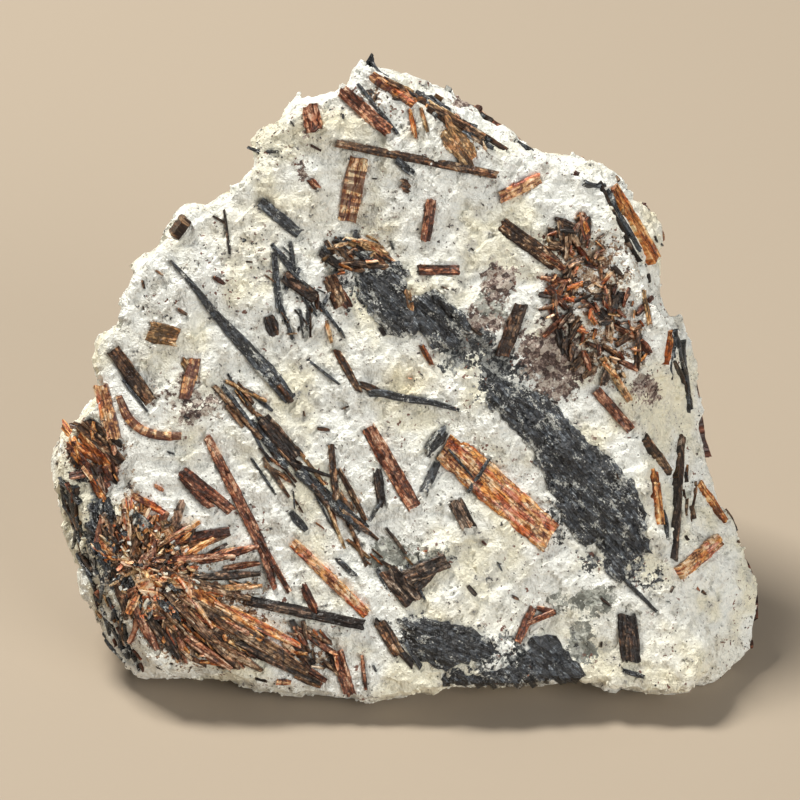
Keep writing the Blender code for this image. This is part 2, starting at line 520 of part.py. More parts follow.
class Specimen:
    """The lump with its crystals, as it is put together."""

    def __init__(self):
        self.rng = random.Random(41)
        self.parts = bpy.data.collections.new("astrophyllite_specimen")
        self.helpers = bpy.data.collections.new("cutters")
        for collection in (self.parts, self.helpers):
            bpy.context.scene.collection.children.link(collection)
        self.materials = {mineral: make_material(mineral) for mineral in COLOURS}
        self.stand = bpy.data.objects.new("specimen", None)
        self.parts.objects.link(self.stand)
        lump = lump_mesh(self.rng)
        self.tree = BVHTree.FromBMesh(lump)
        self.pockets = bmesh.new()
        self.lump = self.add("feldspar_matrix", lump, "feldspar")

    def add(self, name, bm, mineral):
        """One named piece of the specimen."""
        return add_object(name, bm, self.materials[mineral], self.parts, self.stand)

    def add_helper(self, name, bm):
        """One cutter."""
        return add_object(name, bm, None, self.helpers, self.stand, helper=True)

    def run(self, bm, spots, widths, depth=BLADE_DEPTH, proud=BLADE_PROUD):
        """One blade on the face, with its pocket."""
        normal = mean_normal(self.tree, spots)
        places, normal = settle(self.tree, spots, normal)
        loft(bm, blade_sections(places, widths, normal, depth, proud, self.rng))
        loft(self.pockets, pocket_sections(places, widths, normal, depth))

    def blade(self, name, mineral, centre, length, width, angle, tip):
        """A straight blade that is a piece of its own."""
        bm = bmesh.new()
        spots, widths = blade_path(centre, length, width, angle, tip)
        self.run(bm, spots, widths)
        self.add(name, bm, mineral)

    def fused(self, name, mineral, runs, root=None):
        """Blades grown together in one solid, with the root that they grow from."""
        first = bmesh.new()
        others = bmesh.new()
        if root is not None:
            centre, size = root
            place, normal = surface_point(self.tree, centre)
            outline = []
            for step in range(SPRAY_ROOT_CORNERS):
                angle = math.tau * step / SPRAY_ROOT_CORNERS
                spot = (centre[0] + size[0] * math.cos(angle), centre[1] + size[1] * math.sin(angle))
                outline.append(surface_point(self.tree, spot)[0])
            normal = mean_normal(self.tree, [centre])
            prism(first, outline, -BLADE_DEPTH, MASS_PROUD, MASS_CHAMFER, normal)
            grown = [point + (point - place).normalized() * GAP for point in outline]
            prism(self.pockets, grown, -BLADE_DEPTH - GAP, POCKET_REACH, 0.0, normal)
        for number, points in enumerate(runs):
            spots = [Vector(point[:2]) for point in points]
            widths = [point[2] for point in points]
            target = first if root is None and number == 0 else others
            depth = BLADE_DEPTH if root is None else SPRAY_DEPTH
            self.run(target, spots, widths, depth - BRANCH_DEPTH_STEP * (number % 4),
                     BLADE_PROUD + BRANCH_RISE_STEP * (number % 3))
        item = self.add(name, first, mineral)
        if others.verts:
            helper = self.add_helper(name + "_branches", others)
            boolean(item, helper, "UNION", True)
        else:
            others.free()

    def mass(self, name, outline):
        """A broad aegirine mass with a pocket that follows its outline."""
        bm = bmesh.new()
        centre = sum((Vector(point) for point in outline), Vector((0.0, 0.0))) / len(outline)
        normal = mean_normal(self.tree, [centre] + [centre.lerp(Vector(point), 0.6) for point in outline])
        level = surface_point(self.tree, centre)[0]
        corners = []
        for point in outline:
            place = surface_point(self.tree, point)[0]
            corners.append(place + normal * (level - place).dot(normal) * MASS_LEVELLED)
        prism(bm, corners, -MASS_DEPTH, MASS_PROUD, MASS_CHAMFER, normal)
        count = len(corners)
        grown = []
        for i, corner in enumerate(corners):
            before = (corner - corners[i - 1]).normalized().cross(normal)
            after = (corners[(i + 1) % count] - corner).normalized().cross(normal)
            miter = before + after
            miter = miter / max(miter.length_squared / 2.0, 0.5)
            turn = 1.0 if winding(outline) > 0.0 else -1.0
            grown.append(corner + miter * GAP * turn)
        prism(self.pockets, grown, -MASS_DEPTH - GAP, POCKET_REACH, 0.0, normal)
        self.add(name, bm, "aegirine")

    def hidden(self, name, mineral, side, centre, length, width, angle):
        """A blade on a side that the view doesn't reach."""
        toward, up = HIDDEN_SIDES[side]
        toward = toward.normalized()
        right = up.cross(toward).normalized()
        up = toward.cross(right)
        middle = Vector((0.0, 0.0, -BACK_DEPTH / 2.0))
        heading = right * math.cos(math.radians(angle)) + up * math.sin(math.radians(angle))
        base = middle + right * centre[0] + up * centre[1] + toward * EYE_DISTANCE
        places, total = [], Vector()
        for share in HIDDEN_STATIONS:
            place, normal, _, _ = self.tree.ray_cast(base + heading * length * share, -toward)
            places.append(place)
            total += normal
        normal = total.normalized()
        start, end = places[0], places[-1]
        places = [start.lerp(end, station + 0.5) for station in HIDDEN_STATIONS]
        widths = [width * share for share in (HIDDEN_TIP, 1.0, 0.95, HIDDEN_TIP)]
        bm = bmesh.new()
        loft(bm, blade_sections(places, widths, normal, BLADE_DEPTH, BLADE_PROUD, self.rng))
        loft(self.pockets, pocket_sections(places, widths, normal, BLADE_DEPTH))
        self.add(name, bm, mineral)

    def stand_up(self):
        """Lean the face back and put the middle of the base at the origin."""
        lean = Matrix((
            (1.0, 0.0, 0.0),
            (0.0, math.sin(FACE_LEAN), -math.cos(FACE_LEAN)),
            (0.0, math.cos(FACE_LEAN), math.sin(FACE_LEAN))))
        self.stand.rotation_euler = lean.to_euler()
        corners = []
        for item in self.parts.objects:
            if item.type == "MESH":
                corners += [lean @ vertex.co for vertex in item.data.vertices]
        low = [min(corner[axis] for corner in corners) for axis in range(3)]
        high = [max(corner[axis] for corner in corners) for axis in range(3)]
        self.stand.location = (-(low[0] + high[0]) / 2.0, -(low[1] + high[1]) / 2.0, -low[2])


def winding(outline):
    """Twice the signed area of an outline: above zero where it runs anticlockwise."""
    pairs = zip(outline, outline[1:] + outline[:1])
    return sum(a[0] * b[1] - a[1] * b[0] for a, b in pairs)


def main():
    """Build the whole specimen."""
    clear_scene()
    specimen = Specimen()
    for name, *sizes in ASTROPHYLLITE_BLADES:
        specimen.blade(name, "astrophyllite", *sizes)
    for name, *sizes in AEGIRINE_BLADES:
        specimen.blade(name, "aegirine", *sizes)
    for name, mineral, runs in CURVED_CRYSTALS:
        specimen.fused(name, mineral, runs)
    for name, outline in AEGIRINE_MASSES:
        specimen.mass(name, outline)
    for name, centre, size, runs in SPRAYS:
        specimen.fused(name, "astrophyllite", runs, root=(centre, size))
    for name, *sizes in HIDDEN_CRYSTALS:
        specimen.hidden(name, *sizes)
    pockets = specimen.add_helper("pockets", specimen.pockets)
    boolean(specimen.lump, pockets, "DIFFERENCE", True)
    specimen.stand_up()


main()
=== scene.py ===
"""Looks of the astrophyllite specimen: white feldspar, copper-brown blades, black aegirine.

Everything is worked out in a face frame, in millimetres: u to the right, v up along the broken
face and w out of it. FaceFrame turns that into the model's own frame, in metres.
"""
from __future__ import annotations

import logging
import math
import random
from dataclasses import dataclass, field
from enum import Enum
from functools import partial
from typing import Callable, Iterable, Sequence

import bmesh
import bpy
import numpy as np
from mathutils import Matrix, Vector, geometry, noise
from mathutils.bvhtree import BVHTree


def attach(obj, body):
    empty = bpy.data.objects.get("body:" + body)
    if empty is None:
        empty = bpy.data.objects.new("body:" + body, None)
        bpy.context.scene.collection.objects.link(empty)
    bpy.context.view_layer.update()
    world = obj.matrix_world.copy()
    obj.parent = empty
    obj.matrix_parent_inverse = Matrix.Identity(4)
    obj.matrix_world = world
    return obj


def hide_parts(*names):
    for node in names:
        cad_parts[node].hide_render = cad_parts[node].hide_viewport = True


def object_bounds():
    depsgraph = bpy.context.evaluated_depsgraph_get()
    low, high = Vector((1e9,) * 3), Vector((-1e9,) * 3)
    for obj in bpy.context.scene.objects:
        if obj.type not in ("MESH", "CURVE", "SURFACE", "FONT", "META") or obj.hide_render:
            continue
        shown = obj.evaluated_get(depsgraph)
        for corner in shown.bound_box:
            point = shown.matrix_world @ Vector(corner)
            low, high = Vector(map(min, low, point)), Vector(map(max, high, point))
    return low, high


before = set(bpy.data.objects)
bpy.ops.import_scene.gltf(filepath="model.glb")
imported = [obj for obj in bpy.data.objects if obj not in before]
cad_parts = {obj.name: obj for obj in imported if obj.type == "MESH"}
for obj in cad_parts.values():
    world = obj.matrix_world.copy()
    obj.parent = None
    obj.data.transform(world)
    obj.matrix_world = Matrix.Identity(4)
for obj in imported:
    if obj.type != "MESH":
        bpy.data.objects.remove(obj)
CAD_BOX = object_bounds()

MM = 0.001
HAIR_M = 1e-5
LOG = logging.getLogger("specimen")

Pixel = tuple[float, float]
Span = tuple[float, float]
Spot = tuple[float, float, float]
Socket = bpy.types.NodeSocket
Adder = Callable[..., Socket]

SMOOTH = {"interpolation_type": "SMOOTHSTEP"}
TIMES = {"operation": "MULTIPLY"}


def linear(hex_colour: str) -> tuple[float, float, float, float]:
    """Turn an sRGB hex colour to a linear one.

    Args:
        hex_colour: Six hex digits.

    Returns:
        Red, green, blue and an alpha of one.
    """
    shares = [int(hex_colour[start:start + 2], 16) / 255.0 for start in (0, 2, 4)]
    red, green, blue = (
        share / 12.92 if share <= 0.04045 else ((share + 0.055) / 1.055) ** 2.4 for share in shares)
    return (red, green, blue, 1.0)


def scrambled(cells: np.ndarray, seed: int) -> np.ndarray:
    """Scattered bits for each cell of a lattice.

    Args:
        cells: Rows of three whole numbers.
        seed: Which bits.

    Returns:
        A whole number for each row.
    """
    mixed = cells @ np.array([374761393, 668265263, 2147483647]) + seed * 974634777
    mixed = (mixed ^ (mixed >> 13)) * 1274126177
    return mixed ^ (mixed >> 16)


def lattice_noise(points: np.ndarray, seed: int) -> np.ndarray:
    """Smooth noise on a unit lattice.

    Args:
        points: Rows of three coordinates, one unit to a cell.
        seed: Which noise.

    Returns:
        One value from -1 to 1 for each row.
    """
    cell = np.floor(points).astype(np.int64)
    part = points - cell
    part = part * part * (3.0 - 2.0 * part)
    total = np.zeros(len(points))
    for corner in range(8):
        step = np.array([corner & 1, (corner >> 1) & 1, (corner >> 2) & 1])
        value = (scrambled(cell + step, seed) & 0xFFFF) / 32767.5 - 1.0
        total += value * np.prod(np.where(step == 1, part, 1.0 - part), axis=1)
    return total


def fractal(points: np.ndarray, size: float, seed: int, octaves: int = 3) -> np.ndarray:
    """Noise with finer noise on it.

    Args:
        points: Rows of three coordinates in millimetres.
        size: Size of the largest lumps in millimetres.
        seed: Which noise.
        octaves: How many sizes, each half the last.

    Returns:
        One value of about -1 to 1 for each row.
    """
    layers = [0.5 ** (octave + 1) * lattice_noise(points * (2.0 ** octave / size), seed + octave * 17)
              for octave in range(octaves)]
    return sum(layers) * 1.15


def broken_facets(points: np.ndarray, size: float, seed: int) -> np.ndarray:
    """Relief of rock that breaks in flat faces: each grain is a small plane that leans its own way.

    Args:
        points: Rows of three coordinates in millimetres.
        size: Size of the grains in millimetres.
        seed: Which grains.

    Returns:
        A height of about -1 to 1 grain leans for each row.
    """
    scaled = points / size
    cell = np.floor(scaled).astype(np.int64)
    nearest = np.full(len(points), 9.0)
    height = np.zeros(len(points))
    for number in range(27):
        spot = cell + np.array([number % 3 - 1, number // 3 % 3 - 1, number // 9 - 1])
        mixed = scrambled(spot, seed)
        bits = [(mixed >> shift) & 0xFF for shift in range(0, 56, 8)]
        offset = scaled - (spot + np.column_stack(bits[:3]) / 255.0)
        lean = np.column_stack(bits[3:6]) / 127.5 - 1.0
        distance = (offset ** 2).sum(axis=1)
        closer = distance < nearest
        nearest = np.where(closer, distance, nearest)
        height = np.where(closer, (offset * lean).sum(axis=1) + 0.5 * (bits[6] / 255.0 - 0.5), height)
    return height


@dataclass(frozen=True)
class FaceFrame:
    """The broken face as the photograph shows it, square to the view."""

    lean_deg: float = 32.0
    mm_per_pixel: float = 0.12
    centre_px: float = 400.0
    eye_mm: float = 600.0
    stand_mm: Spot = (-0.68, -11.871, 34.0)

    def turn(self) -> Matrix:
        """The rotation from the face frame to the model's own."""
        sine, cosine = math.sin(math.radians(self.lean_deg)), math.cos(math.radians(self.lean_deg))
        return Matrix(((1.0, 0.0, 0.0), (0.0, sine, -cosine), (0.0, cosine, sine)))

    def uv(self, pixel: Sequence[float]) -> Vector:
        """A pixel of the view as millimetres across and up the face."""
        across, down = pixel[0] - self.centre_px, pixel[1] - self.centre_px
        return Vector((across * self.mm_per_pixel, -down * self.mm_per_pixel))

    def world(self, points: np.ndarray) -> np.ndarray:
        """Points of the face frame in metres of the model's frame."""
        return (points @ np.array(self.turn()).T + np.array(self.stand_mm)) * MM

    def face(self, points: np.ndarray) -> np.ndarray:
        """Points of the model's frame in millimetres of the face frame."""
        return (points / MM - np.array(self.stand_mm)) @ np.array(self.turn())

    def seen(self, points: np.ndarray) -> np.ndarray:
        """Where the eye sees points of the face frame, on the plane w = 0."""
        return points[:, :2] / (1.0 - points[:, 2:3] / self.eye_mm)


FACE = FaceFrame()


class Mineral(Enum):
    """The finishes of the crystals."""

    COPPER = "copper"
    ORANGE = "orange"
    GOLD = "gold"
    RUST = "rust"
    BROWN = "brown"
    DARK = "dark"
    BANDED = "banded"
    BLACK = "black"
    PALE = "pale"


COPPER, ORANGE, GOLD, RUST, BROWN, DARK, BANDED, BLACK, PALE = Mineral


def connect(tree: bpy.types.NodeTree, node: bpy.types.Node, feeds: dict[object, object]) -> None:
    """Link or set inputs of a node.

    Args:
        tree: The tree.
        node: The node.
        feeds: A socket, a value or an sRGB hex colour, by the input's name or number.
    """
    for key, value in feeds.items():
        if isinstance(value, Socket):
            tree.links.new(value, node.inputs[key])
        elif value is not None:
            node.inputs[key].default_value = linear(value) if isinstance(value, str) else value


def add_node(tree: bpy.types.NodeTree, kind: str, *feeds: object, out: object = 0,
             stops: Sequence[tuple[float, str]] = (), **settings: object) -> object:
    """Add a node to a tree with its settings and links.

    Args:
        tree: The tree.
        kind: The node's Blender type, which may leave out its leading ShaderNode.
        *feeds: What goes in its inputs, in order, or one dictionary of them.
        out: The name or number of the output that is wanted, or several names.
        stops: Places and sRGB hex colours, where it has a colour ramp.
        **settings: Attributes of the node.

    Returns:
        The output, or a list of them.
    """
    node = tree.nodes.new(kind if "Node" in kind else "ShaderNode" + kind)
    for name, value in settings.items():
        setattr(node, name, value)
    connect(tree, node, feeds[0] if feeds and isinstance(feeds[0], dict) else dict(enumerate(feeds)))
    while stops and len(node.color_ramp.elements) < len(stops):
        node.color_ramp.elements.new(0.5)
    for number, (place, colour) in enumerate(stops):
        element = node.color_ramp.elements[number]
        element.position, element.color = place, linear(colour)
    if isinstance(out, tuple):
        return [node.outputs[name] for name in out]
    return node.outputs[out] if len(node.outputs) else node


def weighed(add: Adder, *parts: tuple[Socket, float], start: object = 0.0) -> Socket:
    """Add up sockets, each times a number.

    Args:
        add: What adds nodes to the tree.
        *parts: Sockets and their shares.
        start: A socket or number that the sum starts from.

    Returns:
        The sum.
    """
    for socket, share in parts:
        start = add("Math", socket, share, start, operation="MULTIPLY_ADD")
    return start


def leaning_facets(add: Adder, place: Socket, hues: Socket, centres: Socket) -> Socket:
    """Height of a surface broken in small planes, one to a cell, each leaning its own way.

    Args:
        add: What adds nodes to the tree.
        place: Where the cells are looked up.
        hues: The random colour of each cell.
        centres: Its centre.

    Returns:
        The height, in the units of the place.
    """
    away = add("VectorMath", place, centres, operation="SUBTRACT")
    lean = add("VectorMath", hues, (0.5, 0.5, 0.5), operation="SUBTRACT")
    return add("VectorMath", away, lean, out="Value", operation="DOT_PRODUCT")


def new_material(name: str) -> tuple[bpy.types.Material, bpy.types.NodeTree, Adder]:
    """Make a material with nodes.

    Args:
        name: Its name.

    Returns:
        The material, its tree and what adds nodes to it.
    """
    material = bpy.data.materials.new(name)
    material.use_nodes = True
    return material, material.node_tree, partial(add_node, material.node_tree)


@dataclass(frozen=True)
class FeldsparFinish:
    """Albite and microcline rock as it breaks: sugary white, cream in places, with grey quartz.

    It gives the eye a bright crumbly ground with fine dark grains. Grain is 0.3 to 1.2 mm. clouds
    gives the size in millimetres, the detail and the roughness of each noise. Each row of specks is
    a noise and where it starts and ends, the noise that masks it with the same, strength and colour.
    """

    name: str = "feldspar_broken_sugary"
    white: str = "FDFEF8"
    cream: str = "F5F0DA"
    shade: str = "DAD7CC"
    iron: str = "E2CF98"
    zones: tuple[tuple[str, Span, tuple[str, str, str]], ...] = (
        ("quartz", (0.30, 0.70), ("66675F", "96988F", "C6C7BE")),
        ("garnet", (0.40, 0.80), ("4A3935", "8C766C", "C8BCB0")),
        ("rust", (0.40, 0.80), ("3C281C", "916A4C", "D2BCA2")),
        ("soot", (0.40, 0.80), ("1D1F22", "4C4F52", "A5A7A4")),
    )
    clouds: tuple[tuple[str, Spot], ...] = (
        ("broad", (9.0, 3.0, 0.55)), ("medium", (2.4, 4.0, 0.6)), ("fine", (0.6, 4.0, 0.65)),
        ("dust", (0.28, 2.0, 0.6)), ("pore", (0.22, 2.0, 0.6)), ("porous", (2.2, 3.0, 0.6)),
        ("speckled", (4.0, 2.0, 0.5)), ("speck", (0.42, 1.0, 0.4)), ("brown_speck", (0.62, 2.0, 0.5)),
        ("browned", (7.0, 2.0, 0.5)),
    )
    specks: tuple[tuple[str, Span, str, Span, float, str], ...] = (
        ("cell", (0.70, 1.0), "medium", (0.42, 0.60), 0.45, "A9A9A1"),
        ("pore", (0.56, 0.68), "porous", (0.44, 0.62), 0.42, "A8A49A"),
        ("speck", (0.69, 0.73), "speckled", (0.46, 0.62), 1.0, "4A3F3A"),
        ("brown_speck", (0.645, 0.68), "browned", (0.44, 0.60), 1.0, "7C5648"),
    )
    grain_mm: float = 0.7
    ior: float = 1.53
    relief_mm: float = 0.46

    def dress(self) -> bpy.types.Material:
        """Build the material, which reads the lump's own zone attributes.

        Returns:
            The material.
        """
        material, tree, add = new_material(self.name)
        place = add("TexCoord", out="Object")
        per_mm = 1.0 / MM
        cloud = {name: add("TexNoise", place, None, per_mm / size, detail, rough)
                 for name, (size, detail, rough) in self.clouds}
        hues, centres = add("TexVoronoi", place, None, per_mm / self.grain_mm, out=("Color", "Position"))
        cloud["cell"] = add("SeparateColor", hues)

        def speckled(below: Socket, row: tuple[str, Span, str, Span, float, str]) -> Socket:
            """Lay one row of specks over what is below."""
            grain, ends, mask, mask_ends, strength, hue = row
            masked = add("MapRange", cloud[mask], *mask_ends, 0.0, strength, **SMOOTH)
            specks = add("Math", add("MapRange", cloud[grain], *ends, **SMOOTH), masked, **TIMES)
            return add("MixRGB", specks, below, hue)

        colour = add("MixRGB", add("MapRange", cloud["broad"], 0.45, 0.63, **SMOOTH), self.white, self.cream)
        colour = add("MixRGB", add("MapRange", cloud["medium"], 0.50, 0.70, **SMOOTH), colour, self.shade)
        colour = speckled(colour, self.specks[0])
        stained = add("Math", add("Attribute", out="Fac", attribute_name="iron"), 0.55, **TIMES)
        colour = add("MixRGB", stained, colour, self.iron)
        for name, ends, tones in self.zones:
            zone = add("Attribute", out="Fac", attribute_name=name)
            share = weighed(add, (cloud["fine"], 1.8), (cloud["medium"], 1.6), start=zone)
            mixed = weighed(add, (cloud["dust"], 0.8), (cloud["cell"], 0.42))
            if name == "quartz":
                mixed = weighed(add, (cloud["medium"], 0.7), (cloud["cell"], 0.3))
            inner = add("ValToRGB", add("MapRange", mixed, *ends, **SMOOTH),
                        stops=tuple(zip((0.0, 0.5, 1.0), tones)))
            colour = add("MixRGB", add("MapRange", share, 2.10, 2.24, **SMOOTH), colour, inner)
        for row in self.specks[1:]:
            colour = speckled(colour, row)
        facets = leaning_facets(add, place, hues, centres)
        relief = weighed(add, (facets, per_mm * 1.3), (cloud["fine"], 0.9), (cloud["dust"], 0.55))
        connect(tree, tree.nodes["Principled BSDF"], {
            "Base Color": colour, "IOR": self.ior,
            "Roughness": add("MapRange", cloud["cell"], 0.0, 1.0, 0.48, 0.80),
            "Normal": add("Bump", {"Height": relief, "Strength": 1.0, "Distance": self.relief_mm * MM})})
        return material


class Pattern:
    """Patterns drawn out along a crystal's own coordinates: sizes in millimetres."""

    def __init__(self, add: Adder, rough: float) -> None:
        """Find the crystal's coordinates and its lightness."""
        self.add = add
        self.rough = rough
        self.blade = add("Attribute", out="Vector", attribute_name="blade")
        self.tone = add("Attribute", out="Fac", attribute_name="tone")

    def drawn_out(self, along: float, across: float) -> Socket:
        """The crystal's coordinates in units of a flake."""
        return self.add("Mapping", self.blade, None, None, (1.0 / along, 1.0 / across, 1.0))

    def streak(self, along: float, across: float, detail: float = 3.0) -> Socket:
        """Noise that is drawn out along the crystal."""
        return self.add("TexNoise", self.drawn_out(along, across), None, 1.0, detail, self.rough)

    def flakes(self, size: Span, swirl: Span, scale: float) -> tuple[Socket, Socket, Socket]:
        """Flakes that swirl a little.

        Args:
            size: Length and width of a flake.
            swirl: Length and width of the swirls.
            scale: How many swirls go in that size.

        Returns:
            Where they are looked up, a random tone for each, and the height of its leaning plane.
        """
        swirls = self.add("TexNoise", self.drawn_out(*swirl), None, scale, out="Color")
        bent = self.add("VectorMath", self.drawn_out(*size), swirls)
        hues, centres = self.add("TexVoronoi", bent, None, 1.0, out=("Color", "Position"))
        return bent, self.add("SeparateColor", hues), leaning_facets(self.add, bent, hues, centres)


@dataclass(frozen=True)
class BladeFinish:
    """Astrophyllite cleaved along its blade: crinkled foil with streaks, cracks and glints.

    Each foil flake is about 0.8 by 0.35 mm, and each leans its own way, so that some catch the light.
    Besides these real glints, the lightest tone of each ramp is a painted glint, and painted shade
    darkens the creases along the flakes' rims.
    """

    name: str
    # Dark, middle and bright colours of the foil, then a near-white painted glint.
    tones: tuple[str, str, str, str]
    metallic: float = 0.25
    roughness: float = 0.34
    crack: float = 0.5
    lightness: float = 0.5
    tints: tuple[str, str] = ("FFD8A8", "EEC0B0")
    tinted: float = 0.55
    banded: float = 0.0
    gap: str = "1D1512"
    relief_mm: float = 0.20

    def dress(self) -> bpy.types.Material:
        """Build the material, which reads each blade's own coordinates in millimetres.

        Returns:
            The material.
        """
        material, tree, add = new_material("astrophyllite_cleaved_" + self.name)
        pattern = Pattern(add, 0.6)
        streak = pattern.streak
        fibres = streak(3.0, 0.20)
        foil = streak(0.5, 0.35, 4.0)
        bent, flake_tone, facet = pattern.flakes((0.8, 0.36), (1.2, 0.8), 1.0)
        mixed = weighed(add, (fibres, 0.46), (foil, 0.58), (flake_tone, 0.18), (pattern.tone, 0.30))
        darker = self.lightness * 0.36
        level = add("MapRange", mixed, 0.78 - darker, 1.16 - darker, **SMOOTH)
        # The ramp's last stop is a painted glint, laid where the noise runs high, not where light falls.
        colour = add("ValToRGB", level, stops=tuple(zip((0.0, 0.36, 0.72, 1.0), self.tones)))
        for tint, hue in zip(self.tints, (streak(2.2, 1.1, 2.0), streak(3.1, 0.7, 2.0))):
            share = add("MapRange", hue, 0.46, 0.62, 0.0, self.tinted, **SMOOTH)
            colour = add("MixRGB", share, colour, tint, blend_type="MULTIPLY")
        if self.banded:
            bands = add("MapRange", streak(0.85, 9.0, 0.0), 0.44, 0.50, 0.0, self.banded, **SMOOTH)
            colour = add("MixRGB", bands, colour, self.tones[0])
        cracks = add("MapRange", streak(0.30, 2.0, 1.0), 0.30, 0.36, self.crack, 0.0, **SMOOTH)
        splits = add("MapRange", streak(4.0, 0.16, 1.0), 0.28, 0.34, self.crack * 1.4, 0.0, **SMOOTH)
        gaps = add("Math", cracks, splits, operation="MAXIMUM")
        # Painted shade: the rims of the flakes, in patches, are darkened as the creases of crinkled foil.
        rims = add("TexVoronoi", bent, None, 1.0, out="Distance", feature="DISTANCE_TO_EDGE")
        crinkled = add("MapRange", streak(1.6, 0.9, 2.0), 0.40, 0.57, 0.0, 0.75, **SMOOTH)
        crease_shade = add("Math", add("MapRange", rims, 0.03, 0.14, 1.0, 0.0, **SMOOTH), crinkled, **TIMES)
        colour = add("MixRGB", crease_shade, colour, self.tones[0])
        relief = weighed(add, (fibres, 0.5), (foil, 0.5), (facet, 0.8), (gaps, -0.5))
        rough = add("MapRange", flake_tone, 0.0, 1.0, self.roughness - 0.10, self.roughness + 0.20)
        connect(tree, tree.nodes["Principled BSDF"], {
            "Base Color": add("MixRGB", gaps, colour, self.gap), "Metallic": self.metallic,
            "Roughness": rough,
            "Normal": add("Bump", {"Height": relief, "Strength": 1.0, "Distance": self.relief_mm * MM})})
        return material


@dataclass(frozen=True)
class AegirineFinish:
    """Aegirine split along its needles: blue-black, satin, with flecks of the white rock in it."""

    name: str = "aegirine_split_fibrous"
    # Blue-black to grey: the lightest tone, and in part the one below it, are painted satin highlights.
    tones: tuple[str, str, str, str] = ("090A0D", "1D2129", "485059", "A2A8AD")
    powder: tuple[str, str, str] = ("5E6264", "B4B6B1", "E4E2D9")
    ior: float = 1.75
    relief_mm: float = 0.42

    def dress(self) -> bpy.types.Material:
        """Build the material, which reads each crystal's own coordinates in millimetres.

        Returns:
            The material.
        """
        material, tree, add = new_material(self.name)
        pattern = Pattern(add, 0.62)
        streak = pattern.streak
        fibres = streak(2.2, 0.16)
        chips = streak(0.5, 0.34)
        _, splinter_tone, facet = pattern.flakes((0.9, 0.38), (0.9, 0.38), 0.9)
        level = weighed(add, (fibres, 0.45), (chips, 0.45), (splinter_tone, 0.22))
        # The splinters' tone lifts some cells into the light stops: painted sheen, besides the real one of
        # the bump.
        colour = add("ValToRGB", add("MapRange", level, 0.43, 0.80, **SMOOTH),
                     stops=tuple(zip((0.0, 0.46, 0.78, 1.0), self.tones)))
        dusty = weighed(add, (streak(1.8, 1.3, 4.0), 4.4), (pattern.tone, 1.0), start=-2.2)
        grainy = weighed(add, (streak(0.26, 0.22), 2.4), start=dusty)
        powder = add("ValToRGB", streak(0.30, 0.30, 2.0), stops=tuple(zip((0.32, 0.50, 0.64), self.powder)))
        colour = add("MixRGB", add("MapRange", grainy, 2.12, 2.28, 0.0, 0.9, **SMOOTH), colour, powder)
        flecks = weighed(add, (dusty, 0.06), start=streak(0.40, 0.30, 2.0))
        colour = add("MixRGB", add("MapRange", flecks, 0.74, 0.77, **SMOOTH), colour, self.powder[2])
        relief = weighed(add, (fibres, 0.45), (chips, 1.05), (facet, 0.45))
        connect(tree, tree.nodes["Principled BSDF"], {
            "Base Color": colour, "IOR": self.ior,
            "Roughness": add("MapRange", splinter_tone, 0.0, 1.0, 0.18, 0.58),
            "Normal": add("Bump", {"Height": relief, "Strength": 1.0, "Distance": self.relief_mm * MM})})
        return material


# The four tones of each finish run dark, middle, bright, then a painted glint.
BLADE_FINISHES = {
    COPPER: BladeFinish("copper", ("552E29", "BC865A", "ECC08E", "FAE2C4"), 0.22, 0.32, 0.5, 0.64,
                        ("FFCC74", "E4969A"), 0.8),
    ORANGE: BladeFinish("orange", ("5A3018", "B26C34", "E2A25C", "F8DAA8"), 0.20, 0.32, 0.4, 0.52,
                        ("FFC478", "E0A284")),
    GOLD: BladeFinish("gold", ("54402C", "AC8658", "DFBE90", "F8ECD0"), 0.22, 0.34, 0.5, 0.52),
    RUST: BladeFinish("rust", ("351E16", "7C4A36", "B48062", "E8C8AC"), 0.18, 0.36, 0.4, 0.48),
    BROWN: BladeFinish("brown", ("2C201A", "6A503C", "A48666", "DCC8B0"), 0.18, 0.36, 0.4, 0.45),
    DARK: BladeFinish("dark", ("1A1412", "40332B", "756252", "BCAA98"), 0.18, 0.38, 0.4, 0.42),
    BANDED: BladeFinish("banded", ("58332C", "AC7656", "E2B682", "FAE4BE"), 0.22, 0.32, 0.5, 0.60,
                        ("FFCE90", "D8A49C"), 0.5, 0.8),
}

SLOTS = {
    **dict.fromkeys((COPPER, ORANGE, GOLD, BANDED), "astrophyllite_copper"),
    **dict.fromkeys((RUST, BROWN, DARK), "astrophyllite_brown"),
    BLACK: "aegirine",
    PALE: "feldspar",
}


class Palette:
    """The finished materials, each made once."""

    def __init__(self) -> None:
        """Make every material."""
        self.feldspar = FeldsparFinish().dress()
        self.crystal = {mineral: finish.dress() for mineral, finish in BLADE_FINISHES.items()}
        self.crystal[BLACK] = AegirineFinish().dress()
        self.crystal[PALE] = self.feldspar


def within_box(points: np.ndarray) -> np.ndarray:
    """Points in metres, kept a hair inside the model's box."""
    return np.clip(points, np.array(CAD_BOX[0]) + HAIR_M, np.array(CAD_BOX[1]) - HAIR_M)


def read_out(items: Sequence[object], name: str, width: int, kind: type = np.float64) -> np.ndarray:
    """Read one property of all vertices or loops.

    Args:
        items: The vertices or loops.
        name: The property.
        width: How many numbers it has.
        kind: Their type.

    Returns:
        A row for each item.
    """
    values = np.empty(len(items) * width, dtype=kind)
    items.foreach_get(name, values)
    return values.reshape(-1, width)


def paint(mesh: bpy.types.Mesh, name: str, values: np.ndarray) -> None:
    """Keep something for each vertex as an attribute.

    Args:
        mesh: The mesh.
        name: The attribute's name.
        values: A value or a row of three for each vertex.
    """
    rows = values.ndim == 2
    layer = mesh.attributes.new(name, "FLOAT_VECTOR" if rows else "FLOAT", "POINT")
    layer.data.foreach_set("vector" if rows else "value", values.astype(np.float32).ravel())


